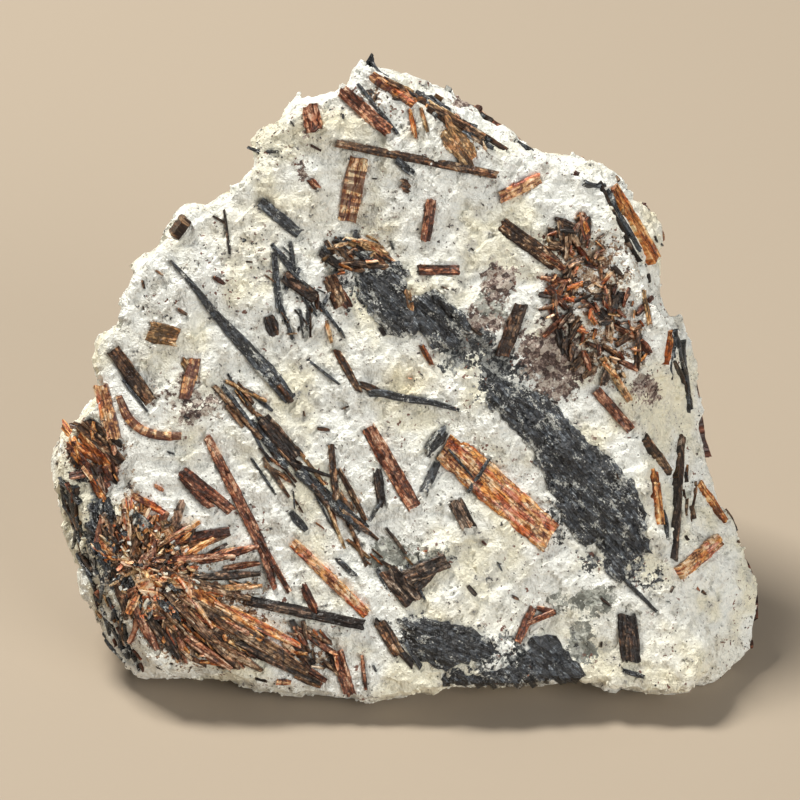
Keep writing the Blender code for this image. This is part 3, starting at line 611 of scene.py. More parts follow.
def put_in_scene(name: str, data: bpy.types.ID) -> bpy.types.Object:
    """Put an object in the scene, at the origin."""
    item = bpy.data.objects.new(name, data)
    bpy.context.scene.collection.objects.link(item)
    return item


def settle(piece: bpy.types.Object, slot: str, *nodes: str) -> None:
    """Ride a piece on the lump and report it.

    Args:
        piece: The piece.
        slot: The name of its material's slot; it is not used.
        *nodes: The nodes that it replaces.
    """
    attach(piece, "root")
    if nodes:
        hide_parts(*nodes)
    LOG.info("%s: %d faces", piece.name, len(piece.data.polygons))


class MeshParts:
    """Vertices, faces and attributes of a piece, gathered in the face frame in millimetres."""

    def __init__(self) -> None:
        """Start empty."""
        self.points: list[np.ndarray] = []
        self.faces: list[tuple[int, ...]] = []
        self.slots: list[int] = []
        self.blade: list[np.ndarray] = []
        self.tone: list[np.ndarray] = []
        self.count = 0

    def add(self, points: np.ndarray, faces: Iterable[Sequence[int]], blade: np.ndarray,
            tone: np.ndarray, slot: int = 0) -> None:
        """Add one closed body.

        Args:
            points: Its vertices.
            faces: Its faces, numbered from its own first vertex.
            blade: Its own coordinates, a row for each vertex.
            tone: Its lightness, a value for each vertex.
            slot: Which material.
        """
        for face in faces:
            self.faces.append(tuple(self.count + i for i in face))
            self.slots.append(slot)
        self.points.append(points)
        self.blade.append(blade)
        self.tone.append(tone)
        self.count += len(points)

    def finish(self, name: str, materials: Sequence[bpy.types.Material]) -> bpy.types.Object:
        """Make the object, with its place in its mesh.

        Args:
            name: The piece's name.
            materials: Its materials, by slot.

        Returns:
            The object.
        """
        mesh = bpy.data.meshes.new(name)
        mesh.from_pydata(within_box(FACE.world(np.vstack(self.points))).tolist(), [], self.faces)
        for material in materials:
            mesh.materials.append(material)
        mesh.polygons.foreach_set("material_index", self.slots)
        paint(mesh, "blade", np.vstack(self.blade))
        paint(mesh, "tone", np.concatenate(self.tone))
        mesh.update()
        return put_in_scene(name, mesh)


def sides(outline: Sequence[Vector]) -> Iterable[tuple[Vector, Vector]]:
    """The sides of a closed outline, each as its two ends."""
    return zip(outline, list(outline[1:]) + [outline[0]])


def reach(outline: Sequence[Vector], angle: float) -> float:
    """How far a star-shaped outline lies from the centre.

    Args:
        outline: Its corners.
        angle: The direction.

    Returns:
        The distance.
    """
    heading = Vector((math.cos(angle), math.sin(angle)))
    best = 0.0
    for start, end in sides(outline):
        edge = end - start
        cross = heading.x * edge.y - heading.y * edge.x
        if abs(cross) < 1e-9:
            continue
        along = (start.x * edge.y - start.y * edge.x) / cross
        part = (start.x * heading.y - start.y * heading.x) / cross
        if along > 0.0 and -1e-6 <= part <= 1.0 + 1e-6:
            best = max(best, along)
    return best


def inside(outline: Sequence[Vector], point: Vector) -> bool:
    """Whether a point lies in an outline."""
    crossings = 0
    for start, end in sides(outline):
        if (start.y > point.y) != (end.y > point.y):
            crossings += start.x + (point.y - start.y) / (end.y - start.y) * (end.x - start.x) > point.x
    return crossings % 2 == 1


# Oval zones of the face: centre, radii and strength, in pixels of the view.
ZONES: dict[str, tuple[tuple[float, ...], ...]] = {
    "quartz": (
        (489, 310, 14, 13, 1.0), (582, 642, 14, 18, 1.0), (592, 602, 24, 14, 0.9), (392, 556, 26, 18, 0.8),
        (620, 532, 18, 12, 0.6), (560, 350, 26, 16, 0.7), (462, 360, 22, 18, 0.75), (340, 270, 20, 12, 0.6),
        (150, 560, 20, 14, 0.5), (420, 560, 26, 16, 0.6), (640, 600, 16, 26, 0.2), (560, 600, 20, 14, 0.5),
    ),
    "garnet": (
        (499, 282, 18, 16, 1.0), (485, 323, 17, 14, 1.0), (556, 360, 40, 36, 0.95), (647, 388, 10, 14, 1.0),
        (303, 171, 9, 8, 0.8), (309, 130, 9, 7, 0.8), (200, 402, 44, 24, 0.55), (95, 476, 14, 20, 0.6),
        (468, 102, 12, 7, 0.9),
    ),
    "iron": (
        (405, 382, 26, 22, 0.8), (700, 660, 46, 26, 0.3), (652, 208, 18, 18, 0.6), (240, 230, 30, 30, 0.4),
        (470, 620, 60, 20, 0.3), (300, 210, 40, 30, 0.35), (330, 130, 40, 16, 0.4),
        (640, 640, 60, 40, 0.15),
    ),
    "soot": (
        (462, 352, 24, 22, 0.72), (365, 285, 26, 28, 0.7), (100, 530, 16, 46, 0.7), (640, 575, 18, 16, 0.5),
        (494, 372, 26, 26, 0.85), (478, 345, 20, 14, 0.7), (500, 655, 70, 22, 0.45),
        (412, 625, 20, 16, 0.5), (555, 520, 14, 26, 0.5), (590, 565, 14, 12, 0.5),
    ),
    "rust": (
        (150, 565, 50, 44, 0.72), (205, 622, 66, 40, 0.72), (95, 452, 34, 28, 0.5),
        (585, 275, 40, 52, 0.62), (606, 345, 34, 30, 0.5), (355, 255, 38, 14, 0.45),
        (300, 655, 44, 18, 0.42), (345, 500, 22, 22, 0.3), (400, 590, 22, 12, 0.35),
        (130, 515, 28, 26, 0.55), (375, 105, 22, 14, 0.3), (470, 150, 20, 14, 0.3),
    ),
}


@dataclass
class Seats:
    """Where crystals lie in the rock, so that it is lowered below them."""

    blades: list[tuple[np.ndarray, np.ndarray, np.ndarray]] = field(default_factory=list)
    masses: list[list[Vector]] = field(default_factory=list)
    room_mm: float = 0.12

    def mask(self, points: np.ndarray, normals: np.ndarray) -> np.ndarray:
        """Which of the rock's vertices lie below a crystal.

        Args:
            points: The vertices.
            normals: Their normals.

        Returns:
            True for each that does.
        """
        seated = np.zeros(len(points), dtype=bool)
        for places, normal, width in self.blades:
            margin = width.max() / 2.0 + self.room_mm
            low, high = places.min(axis=0) - margin, places.max(axis=0) + margin
            close = np.nonzero(((points > low) & (points < high)).all(axis=1))[0]
            if not len(close):
                continue
            offset = points[close][:, None, :] - places[None, :, :]
            offset -= normal * (offset @ normal)[:, :, None]
            distance = np.linalg.norm(offset, axis=2)
            nearest = distance.argmin(axis=1)
            below = distance[np.arange(len(close)), nearest] < width[nearest] / 2.0 + self.room_mm
            seated[close[below]] = True
        seen = FACE.seen(points)
        front = np.nonzero(normals[:, 2] > 0.0)[0]
        for outline in self.masses:
            corners = np.array([[p.x, p.y] for p in outline])
            close = ((seen[front] > corners.min(axis=0)) & (seen[front] < corners.max(axis=0))).all(axis=1)
            for index in front[close]:
                seated[index] |= inside(outline, Vector(seen[index]))
        return seated


@dataclass
class FeldsparLump:
    """The white rock: its broken face, rims and back, finely roughened.

    The outlines are read clockwise from the top, in pixels of the view.
    """

    steps: int = 300
    grid_mm: float = 1.1
    half_face_mm: float = 46.0
    voxel_mm: float = 0.47
    quick_voxel_mm: float = 0.6
    ground_mm: float = -34.0
    back_mm: float = 41.0
    undercut_mm: float = 2.8
    undercut_share: float = 0.07
    pocket_mm: float = 0.22
    least_rim_mm: float = 0.5
    zone_warp_mm: float = 1.3
    back_rings: tuple[Span, ...] = ((-20.0, 0.97), (-30.0, 0.84), (-37.0, 0.60))
    back_facets: tuple[tuple[Spot, Spot], ...] = (
        ((17.0, 10.0, -31.0), (0.62, 0.30, -0.72)),
        ((-17.0, 8.0, -29.0), (-0.60, 0.22, -0.77)),
        ((0.0, 26.0, -28.7), (0.08, 0.80, -0.60)),
        ((34.4, 0.0, -25.8), (0.80, 0.0, -0.60)),
    )
    silhouette: tuple[Pixel, ...] = (
        (365, 62), (397, 71), (415, 76), (437, 82), (455, 92), (475, 104), (490, 117), (510, 127),
        (533, 152), (558, 153), (581, 156), (597, 162), (608, 169), (620, 178), (626, 191), (635, 197),
        (648, 200), (652, 210), (660, 220), (664, 232), (664, 280), (667, 297), (673, 307), (685, 317),
        (692, 331), (697, 353), (699, 376), (702, 396), (704, 440), (709, 457), (717, 480), (722, 502),
        (736, 526), (741, 539), (745, 557), (751, 570), (758, 580), (762, 602), (758, 623), (755, 639),
        (752, 660), (748, 682), (744, 695), (731, 700), (719, 696), (700, 697), (662, 700), (651, 702),
        (639, 695), (625, 689), (600, 689), (585, 684), (560, 685), (546, 689), (520, 692), (470, 690),
        (444, 690), (422, 693), (408, 701), (396, 701), (370, 706), (327, 703), (281, 698), (255, 694),
        (236, 682), (210, 680), (147, 680), (135, 677), (126, 664), (110, 648), (99, 628), (93, 610),
        (85, 602), (80, 589), (79, 571), (69, 553), (63, 528), (58, 516), (53, 485), (53, 469),
        (51, 455), (55, 441), (62, 430), (77, 418), (86, 405), (98, 390), (95, 380), (93, 364),
        (98, 353), (99, 337), (117, 324), (118, 319), (123, 301), (134, 268), (148, 253), (163, 234),
        (184, 208), (195, 202), (204, 203), (210, 205), (215, 199), (232, 188), (252, 169), (255, 150),
        (256, 138), (270, 126), (289, 106), (302, 99), (324, 95), (338, 90), (353, 79), (354, 72),
    )
    face_edge: tuple[Pixel, ...] = (
        (365, 66), (388, 80), (421, 108), (461, 130), (480, 140), (512, 156), (540, 160), (570, 172),
        (597, 184), (612, 208), (625, 240), (640, 285), (664, 330), (664, 364), (640, 402), (641, 453),
        (650, 512), (668, 550), (673, 575), (690, 620), (700, 660), (690, 688), (650, 690), (600, 680),
        (550, 680), (500, 684), (450, 684), (410, 694), (370, 698), (320, 692), (280, 686), (250, 676),
        (225, 665), (171, 666), (156, 659), (133, 630), (115, 605), (102, 584), (88, 530), (80, 505),
        (64, 480), (60, 455), (70, 432), (95, 405), (102, 385), (98, 365), (104, 345), (120, 328),
        (131, 284), (153, 254), (170, 235), (188, 212), (214, 206), (235, 190), (256, 170), (260, 140),
        (273, 129), (303, 104), (340, 93), (358, 72),
    )
    tree: BVHTree | None = field(default=None, init=False)
    smooth: tuple[np.ndarray, np.ndarray, np.ndarray] | None = field(default=None, init=False)

    @staticmethod
    def rim_depth(angle: float) -> float:
        """How far behind the face the silhouette lies, round the lump."""
        right = max(0.0, math.cos(angle + math.radians(12.0))) ** 2
        left = max(0.0, -math.cos(angle)) ** 2
        top = max(0.0, math.sin(angle - math.radians(18.0))) ** 2
        return -(3.5 + 8.5 * right + 5.0 * left + 4.0 * top)

    @staticmethod
    def face_relief(u: float, v: float) -> float:
        """Height of the broken face: long swells, then small ledges."""
        swell = 0.9 * noise.noise(Vector((u * 0.055, v * 0.055, 3.1)))
        ledge = 0.45 * math.floor(2.6 * noise.noise(Vector((u * 0.10 + v * 0.05, v * 0.12, 7.7))))
        grain = 0.35 * noise.noise(Vector((u * 0.32, v * 0.32, 1.9)))
        return swell + ledge + grain

    def shell(self) -> bmesh.types.BMesh:
        """The lump before it is roughened.

        Returns:
            A closed mesh in millimetres: face, rim, back, flat base and back facets.
        """
        silhouette, face_edge = (
            [FACE.uv(pixel) for pixel in line] for line in (self.silhouette, self.face_edge))
        angles = [math.tau * step / self.steps for step in range(self.steps)]
        outer = [reach(silhouette, angle) for angle in angles]
        headings = [Vector((math.cos(a), math.sin(a))) for a in angles]
        edge = [heading * min(reach(face_edge, angle), far - self.least_rim_mm)
                for heading, angle, far in zip(headings, angles, outer)]
        joints = [(i, (i + 1) % self.steps) for i in range(self.steps)]
        spots = edge + self.face_spots(edge)
        flat, _, triangles, _, _, _ = geometry.delaunay_2d_cdt(spots, joints, [], 1, 1e-5)

        shell = bmesh.new()
        face = [shell.verts.new((p.x, p.y, self.face_relief(p.x, p.y))) for p in flat]
        for triangle in triangles:
            shell.faces.new([face[i] for i in triangle])
        rim = []
        for angle, heading, radius in zip(angles, headings, outer):
            depth = self.rim_depth(angle)
            spread = radius * (1.0 - depth / FACE.eye_mm)
            rim.append(shell.verts.new((heading.x * spread, heading.y * spread, depth)))
        rings = [face[:self.steps], rim]
        for depth, size in self.back_rings:
            ring = []
            for heading, radius in zip(headings, outer):
                lump = noise.noise(Vector((heading.x * 1.7, heading.y * 1.7, depth * 0.11)))
                spread = radius * size * (1.0 + 0.07 * lump)
                ring.append(shell.verts.new((heading.x * spread, heading.y * spread, depth + 2.2 * lump)))
            rings.append(ring)
        for near, far in zip(rings, rings[1:]):
            for i, j in joints:
                shell.faces.new((near[j], near[i], far[i], far[j]))
        peak = shell.verts.new((1.0, -1.0, -self.back_mm))
        for i, j in joints:
            shell.faces.new((rings[-1][j], rings[-1][i], peak))
        bmesh.ops.triangulate(shell, faces=shell.faces[:])
        upward = FACE.turn().transposed() @ Vector((0.0, 0.0, 1.0))
        self.break_off(shell, upward * self.ground_mm, -upward)
        for point, normal in self.back_facets:
            self.break_off(shell, Vector(point), Vector(normal))
        bmesh.ops.triangulate(shell, faces=shell.faces[:])
        bmesh.ops.recalc_face_normals(shell, faces=shell.faces[:])
        return shell

    def face_spots(self, edge: Sequence[Vector]) -> list[Vector]:
        """Points on a slightly jittered grid.

        Args:
            edge: The edge of the face.

        Returns:
            The points inside it.
        """
        rng = random.Random(7)
        shrunk = [point * 0.985 for point in edge[::3]]
        count = int(2.0 * self.half_face_mm / self.grid_mm)
        spots = []
        for row in range(count):
            for column in range(count):
                spot = Vector((
                    self.grid_mm * (column + 0.5 * (row % 2) + rng.uniform(-0.2, 0.2)) - self.half_face_mm,
                    self.grid_mm * (row + rng.uniform(-0.2, 0.2)) - self.half_face_mm))
                if inside(shrunk, spot):
                    spots.append(spot)
        return spots

    @staticmethod
    def break_off(shell: bmesh.types.BMesh, point: Vector, normal: Vector) -> None:
        """Break the lump off along a plane and close the cut.

        Args:
            shell: The lump.
            point: A point of the plane.
            normal: The side that goes.
        """
        parts = shell.verts[:] + shell.edges[:] + shell.faces[:]
        cut = bmesh.ops.bisect_plane(shell, geom=parts, plane_co=point, plane_no=normal, clear_outer=True)
        edges = [item for item in cut["geom_cut"] if isinstance(item, bmesh.types.BMEdge)]
        bmesh.ops.holes_fill(shell, edges=edges, sides=0)

    def prepare(self) -> None:
        """Make the smooth lump in even small faces, which the crystals are laid on."""
        shell = self.shell()
        mesh = bpy.data.meshes.new("shell")
        shell.to_mesh(mesh)
        shell.free()
        item = put_in_scene("shell", mesh)
        remesh = item.modifiers.new("even", "REMESH")
        remesh.mode = "VOXEL"
        remesh.voxel_size = self.voxel_mm
        even = bpy.data.meshes.new_from_object(item.evaluated_get(bpy.context.evaluated_depsgraph_get()))
        bpy.data.objects.remove(item, do_unlink=True)
        points, normals = (read_out(even.vertices, name, 3) for name in ("co", "normal"))
        faces = read_out(even.loops, "vertex_index", 1, np.int32).reshape(-1, 4)
        self.smooth = (points, normals, faces)
        self.tree = BVHTree.FromPolygons([Vector(p) for p in points], faces.tolist())

    def roughen(self, points: np.ndarray, normals: np.ndarray, seated: np.ndarray) -> np.ndarray:
        """Break the surface up.

        Args:
            points: The smooth lump's vertices.
            normals: Their normals.
            seated: Which of them a crystal lies on.

        Returns:
            The vertices with flat breaks, steps and pits, lowered below the crystals.
        """
        front = np.clip((normals[:, 2] - 0.2) / 0.5, 0.0, 1.0)
        ground = FACE.world(points)[:, 2] / MM
        undercut = np.clip(1.0 - ground / self.undercut_mm, 0.0, 1.0)[:, None]
        standing = np.clip((ground - 0.3) / 1.2, 0.0, 1.0)
        lumps = fractal(points, 7.0, 3, 3)
        steps = np.floor(fractal(points * np.array([1.0, 1.6, 1.0]), 9.0, 11, 2) * 5.0) * 0.28
        coarse = broken_facets(points, 4.2, 5)
        grain = broken_facets(points, 1.5, 9)
        pits = np.clip(-fractal(points, 2.6, 31, 2) - 0.30, 0.0, 1.0)
        side = (1.0 - front) * (0.5 * lumps + steps * 0.7 + 0.8 * coarse)
        height = side + front * (0.15 * lumps + 0.30 * coarse) + 0.26 * grain - 0.8 * pits - 0.12
        height = np.where(seated, np.minimum(height, -self.pocket_mm), height)
        turn = np.array(FACE.turn())
        level = (points @ turn.T) * np.array([1.0, 1.0, 0.0])
        level -= level[ground < 1.0].mean(axis=0)
        inward = level @ turn * -self.undercut_share
        points = points - turn[2] * (ground.min() * undercut)
        return points + normals * (height * standing)[:, None] + inward * undercut

    def build(self, palette: Palette, seats: Seats) -> bpy.types.Object:
        """Build and dress the lump.

        Args:
            palette: The materials.
            seats: Where the crystals lie in it.

        Returns:
            The piece.
        """
        points, normals, faces = self.smooth
        world = within_box(FACE.world(self.roughen(points, normals, seats.mask(points, normals))))
        points = FACE.face(world)
        mesh = bpy.data.meshes.new("feldspar_lump")
        mesh.from_pydata(world.tolist(), [], faces.tolist())
        mesh.materials.append(palette.feldspar)
        seen = FACE.seen(points)
        flat = np.column_stack([seen, np.zeros(len(seen))])
        warp = np.column_stack([fractal(flat, 2.6, 51, 2), fractal(flat, 2.6, 67, 2)]) * self.zone_warp_mm
        facing = np.clip((points[:, 2] + 16.0) / 2.0, 0.0, 1.0)
        shifts = {"quartz": 0.0, "garnet": 40.0, "rust": 80.0}
        for name, patches in ZONES.items():
            strength = np.zeros(len(seen))
            for across, down, *radii, weight in patches:
                offset = (seen + warp - np.array(FACE.uv((across, down)))) / (
                    np.array(radii) * FACE.mm_per_pixel)
                distance = np.sqrt((offset ** 2).sum(axis=1))
                strength = np.maximum(strength, weight * np.clip(1.5 - distance, 0.0, 1.0))
            strength *= facing
            if name in shifts:
                hidden = np.clip(fractal(points + shifts[name], 7.0, 91, 3) - 0.22, 0.0, 1.0)
                strength += (1.0 - facing) * hidden * 2.0
            paint(mesh, name, strength)
        mesh.update()
        item = put_in_scene("feldspar_lump", mesh)
        settle(item, "feldspar", "feldspar_matrix")
        return item

    def surface(self, uv: Sequence[float]) -> tuple[Vector, Vector]:
        """Find a spot of the face on the lump.

        Args:
            uv: Millimetres across and up.

        Returns:
            Where the eye sees it, and how the surface faces there.
        """
        eye = Vector((0.0, 0.0, FACE.eye_mm))
        spot = Vector((uv[0], uv[1], 0.0))
        hit, normal, _, _ = self.tree.ray_cast(eye, (spot - eye).normalized())
        if hit is None:
            hit, normal, _, _ = self.tree.find_nearest(spot)
        return hit, normal

    def mean_normal(self, spots: Sequence[Sequence[float]]) -> Vector:
        """How the surface faces on the average.

        Args:
            spots: The spots that it is wanted round.

        Returns:
            The mean normal.
        """
        total = Vector()
        for uv in spots:
            for du, dv in ((0.0, 0.0), (0.8, 0.0), (-0.8, 0.0), (0.0, 0.8), (0.0, -0.8)):
                total += self.surface((uv[0] + du, uv[1] + dv))[1]
        return total.normalized()


@dataclass(frozen=True)
class BladeShape:
    """How a blade is broken: sizes in millimetres."""

    proud: float = 0.30
    sink: float = 0.9
    along_step: float = 0.22
    across_step: float = 0.17
    ragged: float = 0.035
    lamella: float = 0.10
    tilt: float = 0.10
    jag: float = 0.16


class BladeMaker:
    """Makes fine blades on the lump's surface.

    steepest is how many times longer than the eye sees it a blade may be, where the rock turns away.
    A path is smoothed over path_mm, and its bend over bend_mm, of which bend_share is kept.
    """

    steepest = 2.0
    path_mm = 1.2
    bend_mm = 2.0
    bend_share = 0.6

    def __init__(self, lump: FeldsparLump) -> None:
        """Keep the lump that the blades lie in."""
        self.lump = lump
        self.number = 0
        self.seats = Seats()

    def places(self, spots: Sequence[Vector], step: float) -> tuple[np.ndarray, np.ndarray, np.ndarray]:
        """Even places along a path on the lump.

        Args:
            spots: The path's points on the face plane, as the eye sees them.
            step: Distance between places.

        Returns:
            The places, how far each lies along the path, and the blade's normal.
        """
        path = np.array([[spot[0], spot[1]] for spot in spots])
        lengths = np.concatenate([[0.0], np.cumsum(np.linalg.norm(np.diff(path, axis=0), axis=1))])
        count = max(6, int(lengths[-1] / step) + 1)
        along = np.linspace(0.0, lengths[-1], count)
        line = np.column_stack([np.interp(along, lengths, path[:, axis]) for axis in (0, 1)])
        if len(path) > 2:
            line = self.smooth(line, max(1, int(self.path_mm / step)))
        hits = np.array([self.lump.surface(uv)[0] for uv in line])
        normal = self.lump.mean_normal(line[::max(1, count // 8)])
        chord = Vector(hits[-1] - hits[0]).normalized()
        facing = np.array((normal - chord * normal.dot(chord)).normalized())
        height = (hits - hits[0]) @ facing
        share = np.linspace(0.0, 1.0, count)
        straight = np.polyval(np.polyfit(share, height, 1), share)
        bend = self.smooth((height - straight)[:, None], max(2, int(self.bend_mm / step)))[:, 0]
        return hits + facing * (straight + bend * self.bend_share - height)[:, None], along, facing

    @staticmethod
    def smooth(values: np.ndarray, reach_count: int) -> np.ndarray:
        """A moving average that keeps the ends.

        Args:
            values: A row for each place.
            reach_count: How many places to either side.

        Returns:
            The averages.
        """
        padded = np.vstack([values[:1]] * reach_count + [values] + [values[-1:]] * reach_count)
        sums = np.cumsum(np.vstack([np.zeros((1, values.shape[1])), padded]), axis=0)
        span = 2 * reach_count + 1
        return (sums[span:] - sums[:-span]) / span

    def blade(self, parts: MeshParts, spots: Sequence[Vector], widths: Sequence[float],
              shape: BladeShape, slot: int = 0, lightness: float = 0.0) -> None:
        """Add one blade, unless it would run back over a steep edge.

        Args:
            parts: What it is added to.
            spots: Its path on the face plane.
            widths: Its width at each point of the path.
            shape: How it is broken.
            slot: Which material of the piece.
            lightness: How much lighter it is than others of its finish.
        """
        places, along, normal = self.places(spots, shape.along_step)
        if np.linalg.norm(places[-1] - places[0]) <= self.steepest * along[-1]:
            self.place_blade(parts, places, along, normal, widths, shape, slot, lightness)

    def place_blade(self, parts: MeshParts, places: np.ndarray, along: np.ndarray, normal: np.ndarray,
                    widths: Sequence[float], shape: BladeShape, slot: int, lightness: float) -> None:
        """Add one blade whose places are known.

        Args:
            parts: What it is added to.
            places: Places along it.
            along: How far along each lies.
            normal: How it faces.
            widths: Its widths, evenly spread along it.
            shape: How it is broken.
            slot: Which material of the piece.
            lightness: How much lighter it is than others of its finish.
        """
        self.number += 1
        seed = self.number * 13.7
        rng = random.Random(self.number)
        count = len(places)
        length = along[-1]
        widest = max(widths)
        width = np.interp(np.linspace(0.0, 1.0, count), np.linspace(0.0, 1.0, len(widths)), widths)
        self.seats.blades.append((places, normal, width))
        columns = max(4, int(widest / shape.across_step) + 1)
        tangent = np.gradient(places, axis=0)
        tangent /= np.linalg.norm(tangent, axis=1)[:, None]
        sideways = np.cross(normal, tangent)
        sideways /= np.linalg.norm(sideways, axis=1)[:, None]
        s_grid, t_grid = np.meshgrid(along, np.linspace(-1.0, 1.0, columns), indexing="ij")

        def lane(scaled: np.ndarray, shift: float = 0.0) -> np.ndarray:
            """Noise coordinates along one line of this blade."""
            count = scaled.size
            return np.column_stack([scaled.ravel(), np.full(count, seed + shift), np.zeros(count)])

        wobble = [shape.ragged * (lattice_noise(lane(along * 0.9, edge), 5)
                                  + 0.6 * lattice_noise(lane(along * 3.1, edge + 2.0), 6))[:, None]
                  for edge in (0.0, 5.0)]
        t_mm = t_grid * width[:, None] / 2.0 * np.where(
            t_grid < 0.0, 1.0 + wobble[0] * 2.0, 1.0 + wobble[1] * 2.0)

        jag = lattice_noise(lane(t_grid * 1.6), 8).reshape(t_grid.shape) * shape.jag * width[:, None]
        jag += rng.uniform(-0.5, 0.5) * shape.jag * t_grid * width[:, None]
        near_start = np.clip(1.0 - s_grid / (0.8 * widest), 0.0, 1.0)
        near_end = np.clip(1.0 - (length - s_grid) / (0.8 * widest), 0.0, 1.0)
        s_shift = jag * near_start - jag[:, ::-1] * near_end

        grid = np.column_stack([t_mm.ravel(), s_grid.ravel(), np.full(t_mm.size, seed)])
        lanes = np.floor(lattice_noise(grid * np.array([2.4, 0.10, 1.0]), 9) * 2.6).reshape(t_grid.shape)
        breaks = np.floor(lattice_noise(grid * np.array([0.5, 0.8, 1.0]), 10) * 2.4).reshape(t_grid.shape)
        slant = rng.uniform(-1.0, 1.0) * shape.tilt
        dip = rng.uniform(-0.5, 0.5) * shape.tilt
        height = shape.proud + slant * t_grid + dip * (s_grid / max(length, 1e-6) - 0.5) * 2.0
        height += shape.lamella * lanes * 0.5 + 0.05 * breaks
        height += 0.05 * fractal(grid, 0.9, 12, 2).reshape(t_grid.shape)
        height = np.maximum(height - 0.12 * np.clip((np.abs(t_grid) - 0.86) / 0.14, 0.0, 1.0), 0.04)
        tones = (0.5 + 0.14 * lanes + 0.10 * breaks + lightness).ravel()

        base = places[:, None, :] + sideways[:, None, :] * t_mm[:, :, None]
        base += tangent[:, None, :] * s_shift[:, :, None]
        top = (base + normal * height[:, :, None]).reshape(-1, 3)
        index = np.arange(count * columns).reshape(count, columns)
        faces = np.stack([index[:-1, :-1], index[1:, :-1], index[1:, 1:], index[:-1, 1:]],
                         axis=-1).reshape(-1, 4).tolist()
        loop = np.concatenate([index[:, 0], index[-1, 1:], index[-2::-1, -1], index[0, -2:0:-1]])
        foot = base.reshape(-1, 3)[loop]
        centre = foot.mean(axis=0)
        skirt = foot - normal * shape.sink
        skirt += (centre - skirt) * 0.04
        first, ring = len(top), len(loop)
        for i in range(ring):
            j = (i + 1) % ring
            faces.append([int(loop[j]), int(loop[i]), first + i, first + j])
            faces.append([first + j, first + i, first + ring])
        points = np.vstack([top, skirt, (centre - normal * shape.sink)[None, :]])
        own = np.column_stack([s_grid.ravel(), t_mm.ravel(), np.full(t_mm.size, seed)])
        own = np.vstack([own, own[loop] + np.array([0.0, 0.0, 0.4]), own.mean(axis=0)[None, :]])
        # The walls' tone drops towards the rock: painted shade where the blade sinks into it.
        tone = np.concatenate([tones, tones[loop] - 0.25, [0.3]])
        parts.add(points, outward(points, faces, normal), own, tone, slot)


def outward(points: np.ndarray, faces: list[Sequence[int]], normal: np.ndarray) -> list[Sequence[int]]:
    """Turn a body's faces outwards if its first one, which is on top, looks in."""
    a, b, c = (points[i] for i in faces[0][:3])
    return [face[::-1] for face in faces] if np.cross(b - a, c - b) @ normal < 0.0 else faces


# Each straight crystal of the model, with the finish that it has in the photograph.
STRAIGHT_CRYSTALS: dict[str, tuple[Mineral, float]] = {
    "copper_blade_large": (COPPER, 0.16),
    "copper_blade_top_right": (COPPER, 0.0),
    "copper_blade_lower_right": (COPPER, 0.2),
    "copper_blade_lower_left": (COPPER, 0.2),
    "copper_blade_back": (COPPER, 0.0),
    "banded_blade_top": (BANDED, 0.25),
    "orange_blade_top": (RUST, 0.15),
    "orange_blade_side": (ORANGE, 0.3),
    "orange_blade_left": (COPPER, 0.0),
    "amber_blade_right_edge": (ORANGE, 0.15),
    "amber_blade_side": (ORANGE, 0.25),
    "gold_blade_right": (GOLD, 0.2),
    "golden_flake_left": (GOLD, -0.1),
    "striped_blade_left": (BANDED, 0.0),
    "tan_blade_ridge": (COPPER, 0.0),
    "rust_block_top": (RUST, 0.15),
    "rust_blade_low": (RUST, 0.1),
    "brick_blade_centre": (RUST, 0.15),
    "thin_blade_top": (BROWN, 0.0),
    "red_block_top": (RUST, 0.2),
    "red_blade_right": (RUST, 0.1),
    "red_blade_mid_left": (RUST, 0.0),
    "brown_blade_top_right": (BROWN, -0.1),
    "brown_blade_upper_centre": (BROWN, -0.1),
    "brown_blade_upper_left": (DARK, 0.1),
    "brown_blade_mid_top": (RUST, 0.0),
    "brown_blade_ridge": (BROWN, 0.0),
    "brown_blade_side": (BROWN, -0.1),
    "brown_blade_left": (BROWN, 0.0),
    "brown_blade_far_left": (BROWN, -0.05),
    "brown_blade_right_back": (BROWN, 0.0),
    "brown_block_upper_left": (BROWN, 0.0),
    "brown_block_left_edge": (BROWN, -0.15),
    "brown_lens_low": (BROWN, 0.0),
    "grey_blade_side": (DARK, 0.1),
    "striped_block_centre": (DARK, 0.15),
    "dark_red_block_lower_right": (DARK, 0.0),
    "dark_red_blade_left": (RUST, -0.15),
    "dark_core_blade_centre": (DARK, 0.0),
    "dark_blade_lower_left": (DARK, -0.1),
    "black_blade_centre_left": (BLACK, 0.2),
    "black_blade_upper_left": (BLACK, 0.0),
    "black_blade_back": (BLACK, 0.0),
    "black_blade_left_back": (BLACK, 0.0),
}


@dataclass
class Crystals:
    """A kind of crystal: what makes them and what they are dressed in."""

    maker: BladeMaker
    palette: Palette

    def finish(self, parts: MeshParts, name: str, minerals: Sequence[Mineral], slot: str,
               *nodes: str) -> None:
        """Finish a piece and settle it.

        Args:
            parts: Its bodies.
            name: Its name.
            minerals: Its finishes, by slot.
            slot: The slot name for it, passed on to settle.
            *nodes: The nodes that it replaces.
        """
        settle(parts.finish(name, [self.palette.crystal[mineral] for mineral in minerals]), slot, *nodes)


def in_order(minerals: Iterable[Mineral]) -> list[Mineral]:
    """Each mineral once, by name."""
    return sorted(set(minerals), key=lambda mineral: mineral.value)


def tapered(width: float, *shares: float) -> list[float]:
    """Widths along a blade, as shares of its width."""
    return [width * share for share in shares]


